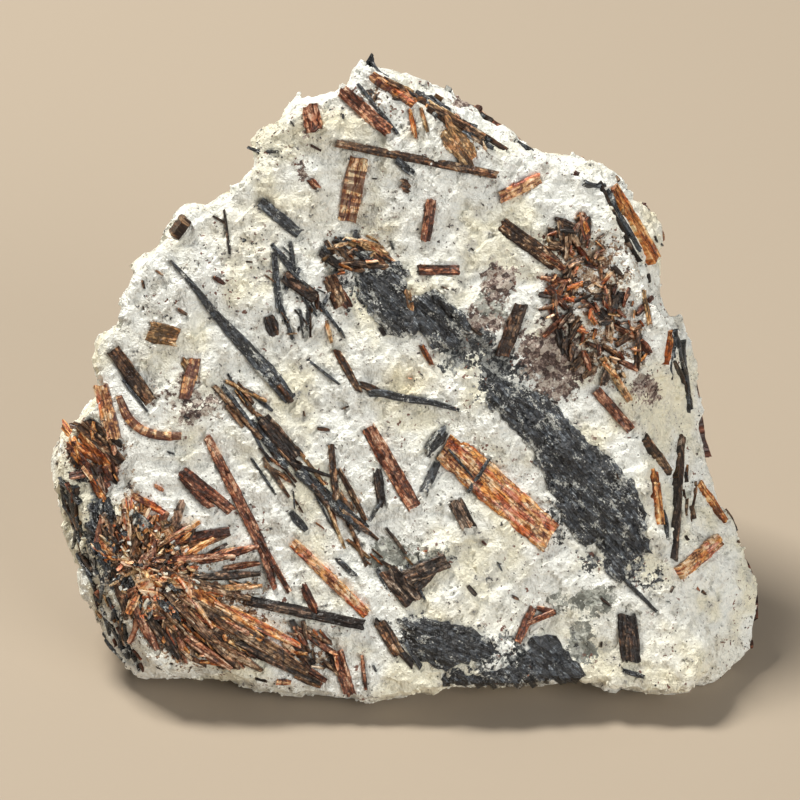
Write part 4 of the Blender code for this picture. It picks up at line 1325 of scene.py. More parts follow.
@dataclass
class StraightCrystals(Crystals):
    """The single blades, each laid over its solid in the model.

    spread says how much wider than its solid a blade's torn foil is, and wider names the exceptions.
    """

    spread: float = 1.06
    wider: dict[str, float] = field(default_factory=lambda: {"copper_blade_large": 1.22})
    shape: BladeShape = BladeShape(proud=0.34, tilt=0.12)
    cast_mm: float = 4.0

    def measure(self, node: str) -> tuple[np.ndarray, np.ndarray, np.ndarray, float, float]:
        """Read a blade's place from its solid.

        Args:
            node: The solid's name.

        Returns:
            Its middle, its direction, its normal, its length and its width.
        """
        points = FACE.face(read_out(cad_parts[node].data.vertices, "co", 3))
        middle = (points.min(axis=0) + points.max(axis=0)) / 2.0
        offset = points - points.mean(axis=0)
        direction = np.linalg.svd(offset, full_matrices=False)[2][0]
        length = float((offset @ direction).ptp())
        total = Vector()
        for share in (-0.3, 0.0, 0.3):
            total += self.maker.lump.tree.find_nearest(Vector(middle + direction * share * length))[1]
        normal = np.array(total.normalized())
        normal = normal - direction * (normal @ direction)
        normal /= np.linalg.norm(normal)
        return middle, direction, normal, length, float((offset @ np.cross(normal, direction)).ptp())

    def build(self) -> None:
        """Build and dress every single blade."""
        for node, (mineral, lightness) in STRAIGHT_CRYSTALS.items():
            middle, direction, normal, length, width = self.measure(node)
            share = np.linspace(-0.5, 0.5, max(6, int(length / self.shape.along_step) + 1))
            line = middle + direction * (share * length)[:, None]
            hits = []
            for point in line:
                start = Vector(point + normal * self.cast_mm)
                hit = self.maker.lump.tree.ray_cast(start, Vector(-normal))[0]
                hits.append(point if hit is None else np.array(hit))
            height = (np.array(hits) - line) @ normal
            line += normal * np.polyval(np.polyfit(share, height, 1), share)[:, None]
            widths = tapered(width * self.wider.get(node, self.spread), 0.9, 1.0, 1.0, 0.98, 0.88)
            parts = MeshParts()
            along = (share + 0.5) * length
            self.maker.place_blade(parts, line, along, normal, widths, self.shape, 0, lightness)
            self.finish(parts, node + "_dressed", [mineral], SLOTS[mineral], node)


@dataclass(frozen=True)
class Run:
    """One blade of a grown-together crystal: (u, v, width) points, finish and lightness."""

    points: tuple[Spot, ...]
    mineral: Mineral
    lightness: float = 0.0


CURVED_CRYSTALS: dict[str, tuple[Run, ...]] = {
    "black_blade_long": (
        Run(((-27.7, 17.0, 0.25), (-24.8, 13.7, 0.7), (-22.1, 10.2, 1.1), (-18.6, 6.4, 1.6),
             (-15.4, 2.9, 1.9), (-13.0, -0.2, 1.5)), BLACK),
        Run(((-14.6, 1.9, 0.7), (-13.0, -0.3, 0.8)), BROWN)),
    "black_band_centre": (
        Run(((-4.0, 0.7, 0.8), (-2.2, 0.9, 1.0), (0.4, 0.2, 0.9), (3.6, -0.2, 0.7), (7.4, -1.3, 0.4)),
            BLACK),),
    "black_streak_side": (
        Run(((32.9, 8.9, 0.6), (34.4, 2.8, 0.9), (34.9, -1.4, 0.6)), BLACK),),
    "gold_band_left": (
        Run(((-33.9, 0.8, 0.8), (-32.6, -2.4, 1.1), (-30.6, -3.9, 1.1), (-28.2, -4.4, 1.1),
             (-25.9, -4.3, 0.9)), BANDED, 0.05),),
    "forked_blade_centre_left": (
        Run(((-23.3, -4.1, 1.0), (-19.9, -10.9, 1.4), (-16.5, -17.7, 1.4), (-14.9, -23.0, 0.6)),
            RUST, 0.1),
        Run(((-17.0, -16.6, 0.9), (-13.2, -23.1, 0.6)), RUST, 0.0)),
    "forked_blade_low": (
        Run(((16.2, -24.6, 0.9), (15.0, -27.0, 1.0), (14.0, -29.4, 0.8)), RUST, 0.1),
        Run(((15.2, -26.8, 0.8), (18.6, -25.4, 0.8)), RUST, 0.1)),
    "dark_blades_low_centre": (
        Run(((-1.6, -20.4, 2.2), (1.7, -24.3, 2.4)), DARK, 0.1),
        Run(((0.6, -21.4, 1.9), (5.8, -19.2, 1.9)), DARK, 0.0)),
}


class GrownCrystals(Crystals):
    """The curved, forked and crossed crystals."""

    def build(self) -> None:
        """Build and dress each crystal."""
        for node, runs in CURVED_CRYSTALS.items():
            minerals = in_order(run.mineral for run in runs)
            parts = MeshParts()
            for number, run in enumerate(runs):
                spots = [Vector(point[:2]) for point in run.points]
                shape = BladeShape(proud=0.32 + 0.08 * number)
                self.maker.blade(parts, spots, [point[2] for point in run.points], shape,
                                 minerals.index(run.mineral), run.lightness)
            self.finish(parts, node + "_dressed", minerals, SLOTS[runs[0].mineral], node)


@dataclass(frozen=True)
class Chip:
    """A long blade of a thicket: end pixels, width in pixels, finish."""

    start: Pixel
    end: Pixel
    width: float
    mineral: Mineral


@dataclass(frozen=True)
class Layer:
    """One size of blades in a thicket: how many, how long and wide in millimetres, how proud."""

    count: int
    length: Span
    width: Span
    proud: Span
    minerals: tuple[Mineral, ...]


@dataclass(frozen=True)
class Thicket:
    """Blades that crowd a patch of the face: its outline and root in pixels of the view.

    The blades fan out from the root, or, where there is none, run one way.
    """

    name: str
    outline: tuple[Pixel, ...]
    layers: tuple[Layer, ...]
    seed: int
    root: Pixel | None = None
    heading_deg: float = 0.0
    scatter_deg: float = 16.0
    node: str | None = None
    long_blades: tuple[Chip, ...] = ()
    lightness: float = 0.0
    tilt: float = 0.20
    keep_in: float = 0.955


# What the finishes of a thicket's blades are drawn from.
BROWNS = (BROWN, RUST, DARK)
MIXED = (BROWN, RUST, COPPER, ORANGE, BROWN, DARK)
BRIGHT = (COPPER, GOLD, RUST, COPPER, ORANGE)
FOILS = (COPPER, GOLD, BROWN, BLACK, COPPER, RUST)
CRUMBS = (GOLD, COPPER, BLACK, ORANGE, GOLD, PALE, COPPER, BROWN, BLACK, DARK, RUST)
STREAKED = (DARK, BLACK, BROWN, BLACK, GOLD)

THICKETS = (
    Thicket("spray_left", (
        (104, 506), (135, 506), (165, 520), (205, 536), (244, 556), (258, 590), (252, 612), (286, 642),
        (304, 664), (280, 672), (232, 664), (186, 658), (158, 650), (136, 622), (114, 592), (100, 545)),
        (Layer(20, (4.0, 8.0), (0.8, 1.5), (0.05, 0.30), BROWNS + MIXED),
         Layer(50, (1.8, 4.5), (0.4, 0.95), (0.20, 0.50), MIXED + (GOLD, COPPER)),
         Layer(96, (0.5, 1.8), (0.25, 0.6), (0.35, 0.75), BRIGHT + MIXED + (BLACK, GOLD, GOLD))),
        5, (140, 572), 0.0, 17.0, "astrophyllite_spray_left", (
            Chip((172, 576), (262, 640), 13, ORANGE), Chip((178, 579), (212, 628), 6, COPPER),
            Chip((165, 590), (240, 668), 10, BROWN), Chip((190, 600), (308, 672), 15, BROWN),
            Chip((150, 560), (235, 556), 8, RUST), Chip((160, 572), (250, 600), 9, BROWN),
            Chip((240, 633), (272, 650), 9, ORANGE), Chip((200, 562), (258, 546), 9, RUST),
            Chip((195, 578), (260, 574), 8, DARK), Chip((204, 590), (262, 586), 7, GOLD),
            Chip((215, 604), (300, 646), 10, COPPER), Chip((150, 600), (205, 656), 11, BROWN),
            Chip((140, 605), (180, 658), 10, DARK), Chip((132, 600), (158, 650), 10, RUST),
            Chip((225, 620), (290, 654), 7, RUST), Chip((160, 545), (200, 522), 7, COPPER),
            Chip((150, 540), (168, 512), 8, RUST), Chip((178, 560), (215, 538), 7, ORANGE),
            Chip((236, 642), (322, 684), 9, DARK), Chip((186, 636), (232, 668), 9, RUST),
            Chip((210, 640), (262, 670), 9, BROWN), Chip((185, 588), (236, 626), 6, GOLD)), 0.22),
    Thicket("spray_left_root", (
        (98, 508), (136, 508), (168, 524), (196, 552), (206, 584), (180, 612), (146, 620), (120, 590),
        (102, 548)),
        (Layer(34, (1.6, 3.4), (0.8, 1.7), (0.30, 0.65), FOILS),
         Layer(80, (0.6, 1.5), (0.35, 0.8), (0.45, 0.75), CRUMBS),
         Layer(150, (0.25, 0.7), (0.2, 0.45), (0.5, 0.85), CRUMBS)), 7, (140, 572), 0.0, 50.0,
        lightness=0.28, tilt=0.38),
    Thicket("spray_right", (
        (548, 236), (562, 218), (590, 216), (604, 238), (616, 262), (628, 292), (642, 318), (648, 352),
        (632, 376), (596, 380), (572, 366), (560, 340), (548, 312), (540, 288), (550, 262)),
        (Layer(34, (2.2, 4.0), (0.7, 1.2), (0.15, 0.45), BROWNS),
         Layer(50, (1.0, 2.6), (0.4, 0.9), (0.25, 0.65), MIXED),
         Layer(50, (0.5, 1.4), (0.25, 0.55), (0.35, 0.8), BRIGHT + BROWNS)),
        8, (584, 262), 0.0, 38.0, "astrophyllite_spray_right", lightness=0.05),
    Thicket("cluster_far_left", (
        (58, 440), (76, 422), (100, 426), (122, 452), (120, 482), (98, 492), (84, 474), (60, 470)),
        (Layer(16, (2.0, 4.6), (0.7, 1.3), (0.15, 0.45), (ORANGE, RUST, DARK)),
         Layer(26, (1.0, 2.6), (0.3, 0.7), (0.3, 0.7), MIXED)), 11, None, -60.0, 22.0),
    Thicket("cluster_upper", (
        (322, 250), (350, 236), (392, 240), (396, 260), (372, 272), (330, 274)),
        (Layer(10, (1.6, 3.4), (0.6, 1.0), (0.15, 0.4), (GOLD, BLACK, BROWN)),
         Layer(24, (0.7, 1.8), (0.25, 0.55), (0.3, 0.6), BRIGHT + STREAKED)), 14, None, -12.0, 34.0),
    Thicket("cluster_low_left", (
        (284, 632), (312, 622), (340, 648), (352, 690), (322, 694), (296, 672)),
        (Layer(10, (1.6, 4.0), (0.5, 1.0), (0.15, 0.4), BROWNS),
         Layer(18, (0.7, 2.0), (0.25, 0.5), (0.3, 0.6), MIXED)), 17, None, -55.0, 30.0),
    Thicket("splinters_bottom_left", (
        (150, 662), (200, 660), (260, 672), (300, 682), (276, 690), (210, 672), (150, 668)),
        (Layer(9, (1.5, 4.0), (0.35, 0.9), (0.05, 0.25), MIXED),), 19, None, -14.0, 14.0),
    Thicket("splinters_centre_left", (
        (214, 386), (244, 388), (276, 428), (312, 456), (346, 498), (384, 528), (424, 566), (440, 578),
        (416, 600), (384, 582), (350, 548), (310, 520), (278, 480), (242, 430)),
        (Layer(22, (2.6, 6.5), (0.35, 0.9), (0.1, 0.35), STREAKED),
         Layer(40, (0.8, 2.4), (0.15, 0.4), (0.2, 0.4), STREAKED + MIXED)), 23, None, -50.0, 13.0),
    Thicket("splinters_upper_left", (
        (268, 244), (292, 252), (330, 290), (344, 336), (326, 340), (290, 336), (270, 300)),
        (Layer(10, (1.6, 4.0), (0.25, 0.6), (0.1, 0.35), STREAKED),
         Layer(16, (0.5, 1.6), (0.12, 0.35), (0.2, 0.4), STREAKED)), 29, None, -62.0, 22.0),
    Thicket("splinters_ridge", (
        (372, 66), (400, 78), (440, 98), (480, 130), (512, 152), (480, 146), (440, 118), (400, 96)),
        (Layer(16, (2.0, 5.0), (0.35, 0.8), (0.15, 0.4), (BLACK, BROWN, GOLD)),
         Layer(20, (0.6, 2.0), (0.2, 0.45), (0.25, 0.5), STREAKED + MIXED)), 31, None, -35.0, 14.0),
    Thicket("splinters_side", (
        (668, 318), (684, 330), (692, 372), (700, 430), (706, 480), (690, 520), (676, 480), (676, 400)),
        (Layer(6, (2.0, 5.5), (0.2, 0.5), (0.1, 0.3), STREAKED),
         Layer(9, (0.6, 2.0), (0.15, 0.4), (0.2, 0.4), STREAKED + MIXED)), 37, None, -78.0, 14.0),
    Thicket("streaks_left_edge", (
        (62, 490), (72, 486), (88, 540), (104, 592), (126, 636), (146, 668), (132, 670), (108, 640),
        (90, 600), (76, 550)),
        (Layer(32, (1.8, 4.5), (0.3, 0.75), (0.1, 0.3), (BLACK, BLACK, BROWN)),
         Layer(34, (0.6, 1.8), (0.2, 0.6), (0.1, 0.35), (RUST, GOLD, BLACK))),
        41, None, -70.0, 12.0, keep_in=0.99),
    Thicket("shards_black_left", (
        (92, 500), (106, 500), (116, 530), (112, 558), (124, 580), (146, 604), (128, 600), (104, 580),
        (90, 550)),
        (Layer(26, (0.8, 2.6), (0.3, 0.7), (0.2, 0.5), (BLACK,)),), 43, None, -62.0, 30.0),
)


class Thickets(Crystals):
    """The fans and crowds of small blades."""

    @staticmethod
    def spot(corners: Sequence[Vector], rng: random.Random) -> Vector:
        """Draw a random spot.

        Args:
            corners: The outline that it lies in.
            rng: What draws lots.

        Returns:
            The spot.
        """
        low = [min(point[axis] for point in corners) for axis in (0, 1)]
        high = [max(point[axis] for point in corners) for axis in (0, 1)]
        while True:
            spot = Vector((rng.uniform(low[0], high[0]), rng.uniform(low[1], high[1])))
            if inside(corners, spot):
                return spot

    def build_one(self, thicket: Thicket) -> None:
        """Build and dress one thicket.

        Args:
            thicket: Its outline, layers and long blades.
        """
        rng = random.Random(thicket.seed)
        corners = [FACE.uv(pixel) for pixel in thicket.outline]
        border = [FACE.uv(pixel) * thicket.keep_in for pixel in self.maker.lump.silhouette]
        minerals = in_order([mineral for layer in thicket.layers for mineral in layer.minerals]
                            + [chip.mineral for chip in thicket.long_blades])
        parts = MeshParts()
        for chip in thicket.long_blades:
            widths = tapered(chip.width * FACE.mm_per_pixel, 0.6, 1.0, 0.95, 0.5)
            shape = BladeShape(proud=rng.uniform(0.5, 0.8), tilt=0.2, jag=0.3)
            self.maker.blade(parts, [FACE.uv(chip.start), FACE.uv(chip.end)], widths, shape,
                             minerals.index(chip.mineral), thicket.lightness)
        heading = math.radians(thicket.heading_deg)
        for layer in (each for each in thicket.layers for _ in range(each.count)):
            middle = self.spot(corners, rng)
            if thicket.root is not None:
                out = middle - FACE.uv(thicket.root)
                heading = math.atan2(out.y, out.x)
            angle = heading + math.radians(rng.gauss(0.0, thicket.scatter_deg))
            half = Vector((math.cos(angle), math.sin(angle))) * rng.uniform(*layer.length) / 2.0
            if not inside(border, middle - half) or not inside(border, middle + half):
                continue
            widths = tapered(rng.uniform(*layer.width), 0.75, 1.0, 0.6)
            slot = minerals.index(rng.choice(layer.minerals))
            shape = BladeShape(proud=rng.uniform(*layer.proud), tilt=thicket.tilt, along_step=0.28,
                               across_step=0.2, jag=0.3, sink=1.1)
            self.maker.blade(parts, [middle - half, middle + half], widths, shape, slot,
                             thicket.lightness + rng.uniform(-0.2, 0.25))
        nodes = [] if thicket.node is None else [thicket.node]
        name = thicket.name if thicket.node is None else thicket.node + "_dressed"
        self.finish(parts, name, minerals, "astrophyllite_brown", *nodes)

    def build(self) -> None:
        """Build and dress every thicket."""
        for thicket in THICKETS:
            self.build_one(thicket)


@dataclass(frozen=True)
class Mass:
    """A broad aegirine mass: its outline (u, v), the direction of its needles, how flecked it is."""

    node: str
    outline: tuple[Span, ...]
    needles_deg: float
    flecked: float = 0.5


MASSES = (
    Mass("black_mass_upper", (
        (-5.8, 15.4), (-3.4, 16.1), (-0.2, 16.6), (1.0, 15.0), (0.8, 12.2), (2.2, 12.7), (4.1, 13.3),
        (6.1, 11.8), (8.3, 9.6), (8.5, 8.4), (6.8, 7.0), (5.8, 6.0), (4.1, 6.2), (2.4, 8.0),
        (0.0, 7.4), (-1.8, 8.4), (-3.4, 9.8), (-4.8, 12.0)), -48.0, 0.55),
    Mass("black_mass_centre", (
        (10.4, 1.9), (12.0, 2.6), (14.4, 2.0), (17.4, 0.7), (19.4, -1.2), (22.9, -5.0), (26.6, -8.2),
        (28.2, -9.7), (28.9, -11.6), (29.3, -13.7), (29.7, -16.4), (30.4, -18.2), (28.8, -18.4),
        (27.6, -19.9), (26.6, -21.8), (25.3, -21.2), (24.4, -19.4), (23.8, -16.9), (22.2, -17.8),
        (20.8, -16.2), (19.3, -13.9), (17.7, -10.8), (16.7, -8.3), (16.0, -6.1), (14.4, -4.8),
        (13.0, -2.6), (10.4, -0.6)), -50.0, 0.5),
    Mass("black_mass_low", (
        (-0.4, -26.2), (3.0, -26.2), (5.3, -26.6), (8.0, -27.2), (10.2, -28.4), (12.1, -30.3),
        (8.3, -31.8), (5.6, -32.4), (2.2, -31.4), (0.8, -27.8)), -22.0, 0.35),
    Mass("black_mass_base", (
        (15.7, -28.6), (17.2, -28.0), (18.6, -28.4), (19.4, -29.8), (21.6, -31.6), (22.4, -33.4),
        (19.2, -33.9), (14.4, -34.3), (8.4, -34.3), (5.4, -34.2), (4.8, -33.4), (6.6, -32.6),
        (8.4, -33.1), (10.6, -32.6), (12.6, -32.2), (13.8, -31.4), (14.9, -30.6), (15.4, -29.8)),
        -40.0, 0.25),
    Mass("black_mass_left", (
        (-37.2, -12.4), (-36.0, -11.8), (-35.0, -13.4), (-35.2, -15.6), (-34.8, -18.0),
        (-34.2, -19.8), (-35.2, -20.4), (-36.8, -17.6), (-37.6, -15.0)), -75.0, 0.4),
)


@dataclass
class AegirineMasses(Crystals):
    """The broad black masses, split in needles: sizes in millimetres."""

    grid: float = 0.3
    spike: float = 0.45
    sink: float = 0.7
    rim: float = 0.5
    dusty_rim: float = 1.2

    def ragged(self, outline: Sequence[Span], seed: int) -> list[Vector]:
        """An outline with small spikes and bays along the needles.

        Args:
            outline: Its corners.
            seed: Which spikes.

        Returns:
            The finer outline.
        """
        ragged = []
        for start, end in sides([Vector(point) for point in outline]):
            count = max(2, int((end - start).length / self.spike))
            heading = (end - start).normalized()
            for step in range(count):
                point = start.lerp(end, step / count)
                spot = np.array([[point.x / 0.8, point.y / 0.8, seed]])
                fine = np.array([[point.x / 0.35, point.y / 0.35, seed + 5]])
                shift = self.spike * lattice_noise(spot, 3)[0] + 0.25 * lattice_noise(fine, 4)[0]
                ragged.append(point + Vector((heading.y, -heading.x)) * shift)
        return ragged

    def build_one(self, mass: Mass, seed: int) -> None:
        """Build and dress one mass.

        Args:
            mass: Its outline and needles.
            seed: Which roughness.
        """
        rim = self.ragged(mass.outline, seed)
        self.maker.seats.masses.append(rim)
        corners = np.array([[p.x, p.y] for p in rim])
        low, high = corners.min(axis=0), corners.max(axis=0)
        columns, rows = ((high - low) / self.grid).astype(int) + 1
        spots = list(rim)
        rng = random.Random(seed)
        for row in range(rows):
            for column in range(columns):
                spot = Vector((
                    low[0] + self.grid * (column + rng.uniform(-0.25, 0.25)),
                    low[1] + self.grid * (row + rng.uniform(-0.25, 0.25))))
                if inside(rim, spot):
                    spots.append(spot)
        joints = [(i, (i + 1) % len(rim)) for i in range(len(rim))]
        flat, _, triangles, _, _, _ = geometry.delaunay_2d_cdt(spots, joints, [], 1, 1e-5)
        uv = np.array([[p.x, p.y] for p in flat])
        count = len(uv)
        hits = np.array([self.maker.lump.surface(p)[0] for p in uv])
        normal = np.array(self.maker.lump.mean_normal(uv[::max(1, count // 20)]))
        turn = math.radians(mass.needles_deg)
        along = uv @ np.array([math.cos(turn), math.sin(turn)])
        across = uv @ np.array([-math.sin(turn), math.cos(turn)])
        own = np.column_stack([along, across, np.full(count, float(seed))])
        grid = own * np.array([0.45, 2.6, 1.0])
        needles = lattice_noise(grid, 21)
        chips = np.floor(lattice_noise(grid * np.array([1.2, 0.5, 1.0]), 22) * 2.5) * 0.10
        splinters = broken_facets(own * np.array([0.5, 1.0, 1.0]), 0.9, 23)
        distance = np.sqrt(((uv[:, None, :] - corners[None, :, :]) ** 2).sum(axis=2)).min(axis=1)
        lift = np.clip(distance / self.rim, 0.0, 1.0)
        height = 0.02 + lift * (0.26 + 0.14 * needles + chips + 0.22 * splinters)
        points = np.vstack([hits + normal * height[:, None], hits - normal * self.sink])
        edges = [pair for a, b, c in triangles for pair in ((a, b), (b, c), (c, a))]
        shared = set(edges)
        faces = [(a, b, c) for a, b, c in triangles]
        faces += [(count + c, count + b, count + a) for a, b, c in triangles]
        faces += [(b, a, count + a, count + b) for a, b in edges if (b, a) not in shared]
        fleck = mass.flecked + 0.35 * np.clip(1.0 - distance / self.dusty_rim, 0.0, 1.0)
        fleck += 0.5 * fractal(own, 4.0, 41, 2)
        parts = MeshParts()
        parts.add(points, outward(points, faces, normal), np.vstack([own, own]),
                  np.concatenate([fleck, fleck]))
        self.finish(parts, mass.node + "_dressed", [BLACK], SLOTS[BLACK], mass.node)

    def build(self) -> None:
        """Build and dress every mass."""
        for number, mass in enumerate(MASSES):
            self.build_one(mass, number + 1)


# Ends and width in pixels of the view, and how far it stands out where that isn't the usual.
SMALL_CRYSTALS: dict[Mineral, tuple[tuple[float, ...], ...]] = {
    COPPER: (
        (545, 290, 575, 300, 7), (133, 495, 166, 514, 8), (366, 242, 394, 262, 6),
    ),
    ORANGE: (
        (670, 331, 668, 362, 9), (655, 470, 655, 500, 12), (410, 110, 416, 138, 5), (68, 430, 78, 464, 10),
        (80, 435, 112, 470, 9), (101, 539, 117, 559, 8), (240, 633, 272, 650, 8), (421, 345, 432, 365, 6),
    ),
    GOLD: (
        (296, 447, 325, 485, 4), (644, 290, 650, 325, 5), (421, 108, 428, 132, 4), (444, 126, 474, 162, 24),
        (344, 240, 384, 250, 10), (407, 290, 412, 312, 7), (185, 360, 195, 378, 12),
    ),
    RUST: (
        (637, 315, 651, 298, 6), (310, 180, 318, 188, 7), (66, 445, 92, 470, 8), (300, 630, 336, 655, 7),
        (335, 655, 352, 696, 11), (362, 655, 366, 690, 4), (303, 585, 316, 612, 9),
        (330, 278, 348, 306, 12), (182, 478, 212, 508, 9), (537, 608, 556, 612, 6),
    ),
    BROWN: (
        (384, 78, 428, 104, 8), (424, 98, 470, 128, 9), (466, 124, 508, 150, 7),
        (213, 216, 225, 223, 3), (331, 444, 336, 500, 8), (339, 469, 366, 521, 6), (572, 370, 590, 352, 7),
        (399, 186, 412, 186, 14), (75, 425, 118, 458, 10), (112, 560, 128, 620, 10),
        (293, 640, 312, 668, 9), (333, 238, 352, 262, 9), (352, 262, 390, 268, 8), (417, 268, 458, 270, 9),
        (213, 385, 262, 440, 6), (336, 350, 360, 392, 8), (360, 384, 384, 394, 8), (500, 224, 552, 262, 12),
        (560, 222, 566, 250, 8),
    ),
    DARK: (
        (224, 210, 230, 254, 3), (287, 452, 330, 510, 6), (377, 470, 382, 506, 10),
        (416, 588, 438, 563, 12), (607, 318, 622, 292, 9), (600, 183, 640, 262, 4),
        (177, 223, 188, 236, 10), (96, 358, 104, 380, 9), (90, 420, 122, 446, 7), (283, 655, 300, 672, 12),
        (376, 622, 412, 665, 9), (455, 505, 471, 527, 14), (320, 252, 345, 270, 9),
        (262, 420, 275, 452, 11), (628, 648, 632, 662, 12), (268, 316, 275, 336, 14),
    ),
    BLACK: (
        (427, 452, 446, 430, 12, 0.5), (489, 459, 480, 474, 4, 0.62), (482, 472, 468, 492, 4.5, 0.62),
        (449, 449, 473, 477, 2.6, 0.6), (358, 84, 398, 134, 4), (365, 62, 388, 77, 5),
        (248, 391, 273, 411, 4), (251, 458, 276, 495, 3), (307, 359, 340, 385, 3), (625, 580, 657, 612, 4),
        (291, 513, 306, 530, 8), (337, 559, 356, 576, 6), (424, 492, 438, 462, 9), (397, 160, 413, 174, 9),
        (254, 151, 279, 152, 3.5), (117, 324, 99, 337, 4), (272, 245, 297, 271, 5), (274, 251, 279, 308, 7),
        (279, 300, 293, 339, 4), (297, 275, 341, 332, 4), (308, 302, 308, 331, 3), (285, 290, 300, 268, 6),
        (223, 386, 250, 422, 4), (250, 420, 287, 468, 8), (382, 500, 370, 521, 4), (405, 641, 421, 668, 6),
        (623, 670, 644, 677, 5), (684, 340, 690, 412, 6), (664, 510, 668, 538, 4), (607, 190, 640, 250, 6),
        (584, 182, 604, 186, 5), (515, 141, 533, 152, 4), (429, 98, 447, 110, 12), (455, 117, 490, 141, 6),
        (123, 380, 148, 412, 3), (72, 472, 84, 482, 9), (62, 482, 80, 504, 8), (121, 576, 148, 605, 12),
        (105, 500, 112, 560, 16),
    ),
}


@dataclass
class SmallCrystals(Crystals):
    """The many small crystals, one piece for each finish."""

    proud: float = 0.24

    def build(self) -> None:
        """Build and dress the small crystals."""
        for mineral, rows in SMALL_CRYSTALS.items():
            parts = MeshParts()
            for left, top, right, bottom, across, *proud in rows:
                shape = BladeShape(proud=proud[0] if proud else self.proud, ragged=0.08, across_step=0.15,
                                   jag=0.42)
                self.maker.blade(parts, [FACE.uv((left, top)), FACE.uv((right, bottom))],
                                 tapered(across * FACE.mm_per_pixel, 0.8, 1.0, 1.0, 0.75), shape)
            self.finish(parts, f"small_{mineral.value}_crystals", [mineral], SLOTS[mineral])


class Habit(Enum):
    """How the crystals of a hidden group lie together."""

    PARALLEL = "parallel"
    STAR = "star"
    MASS = "mass"


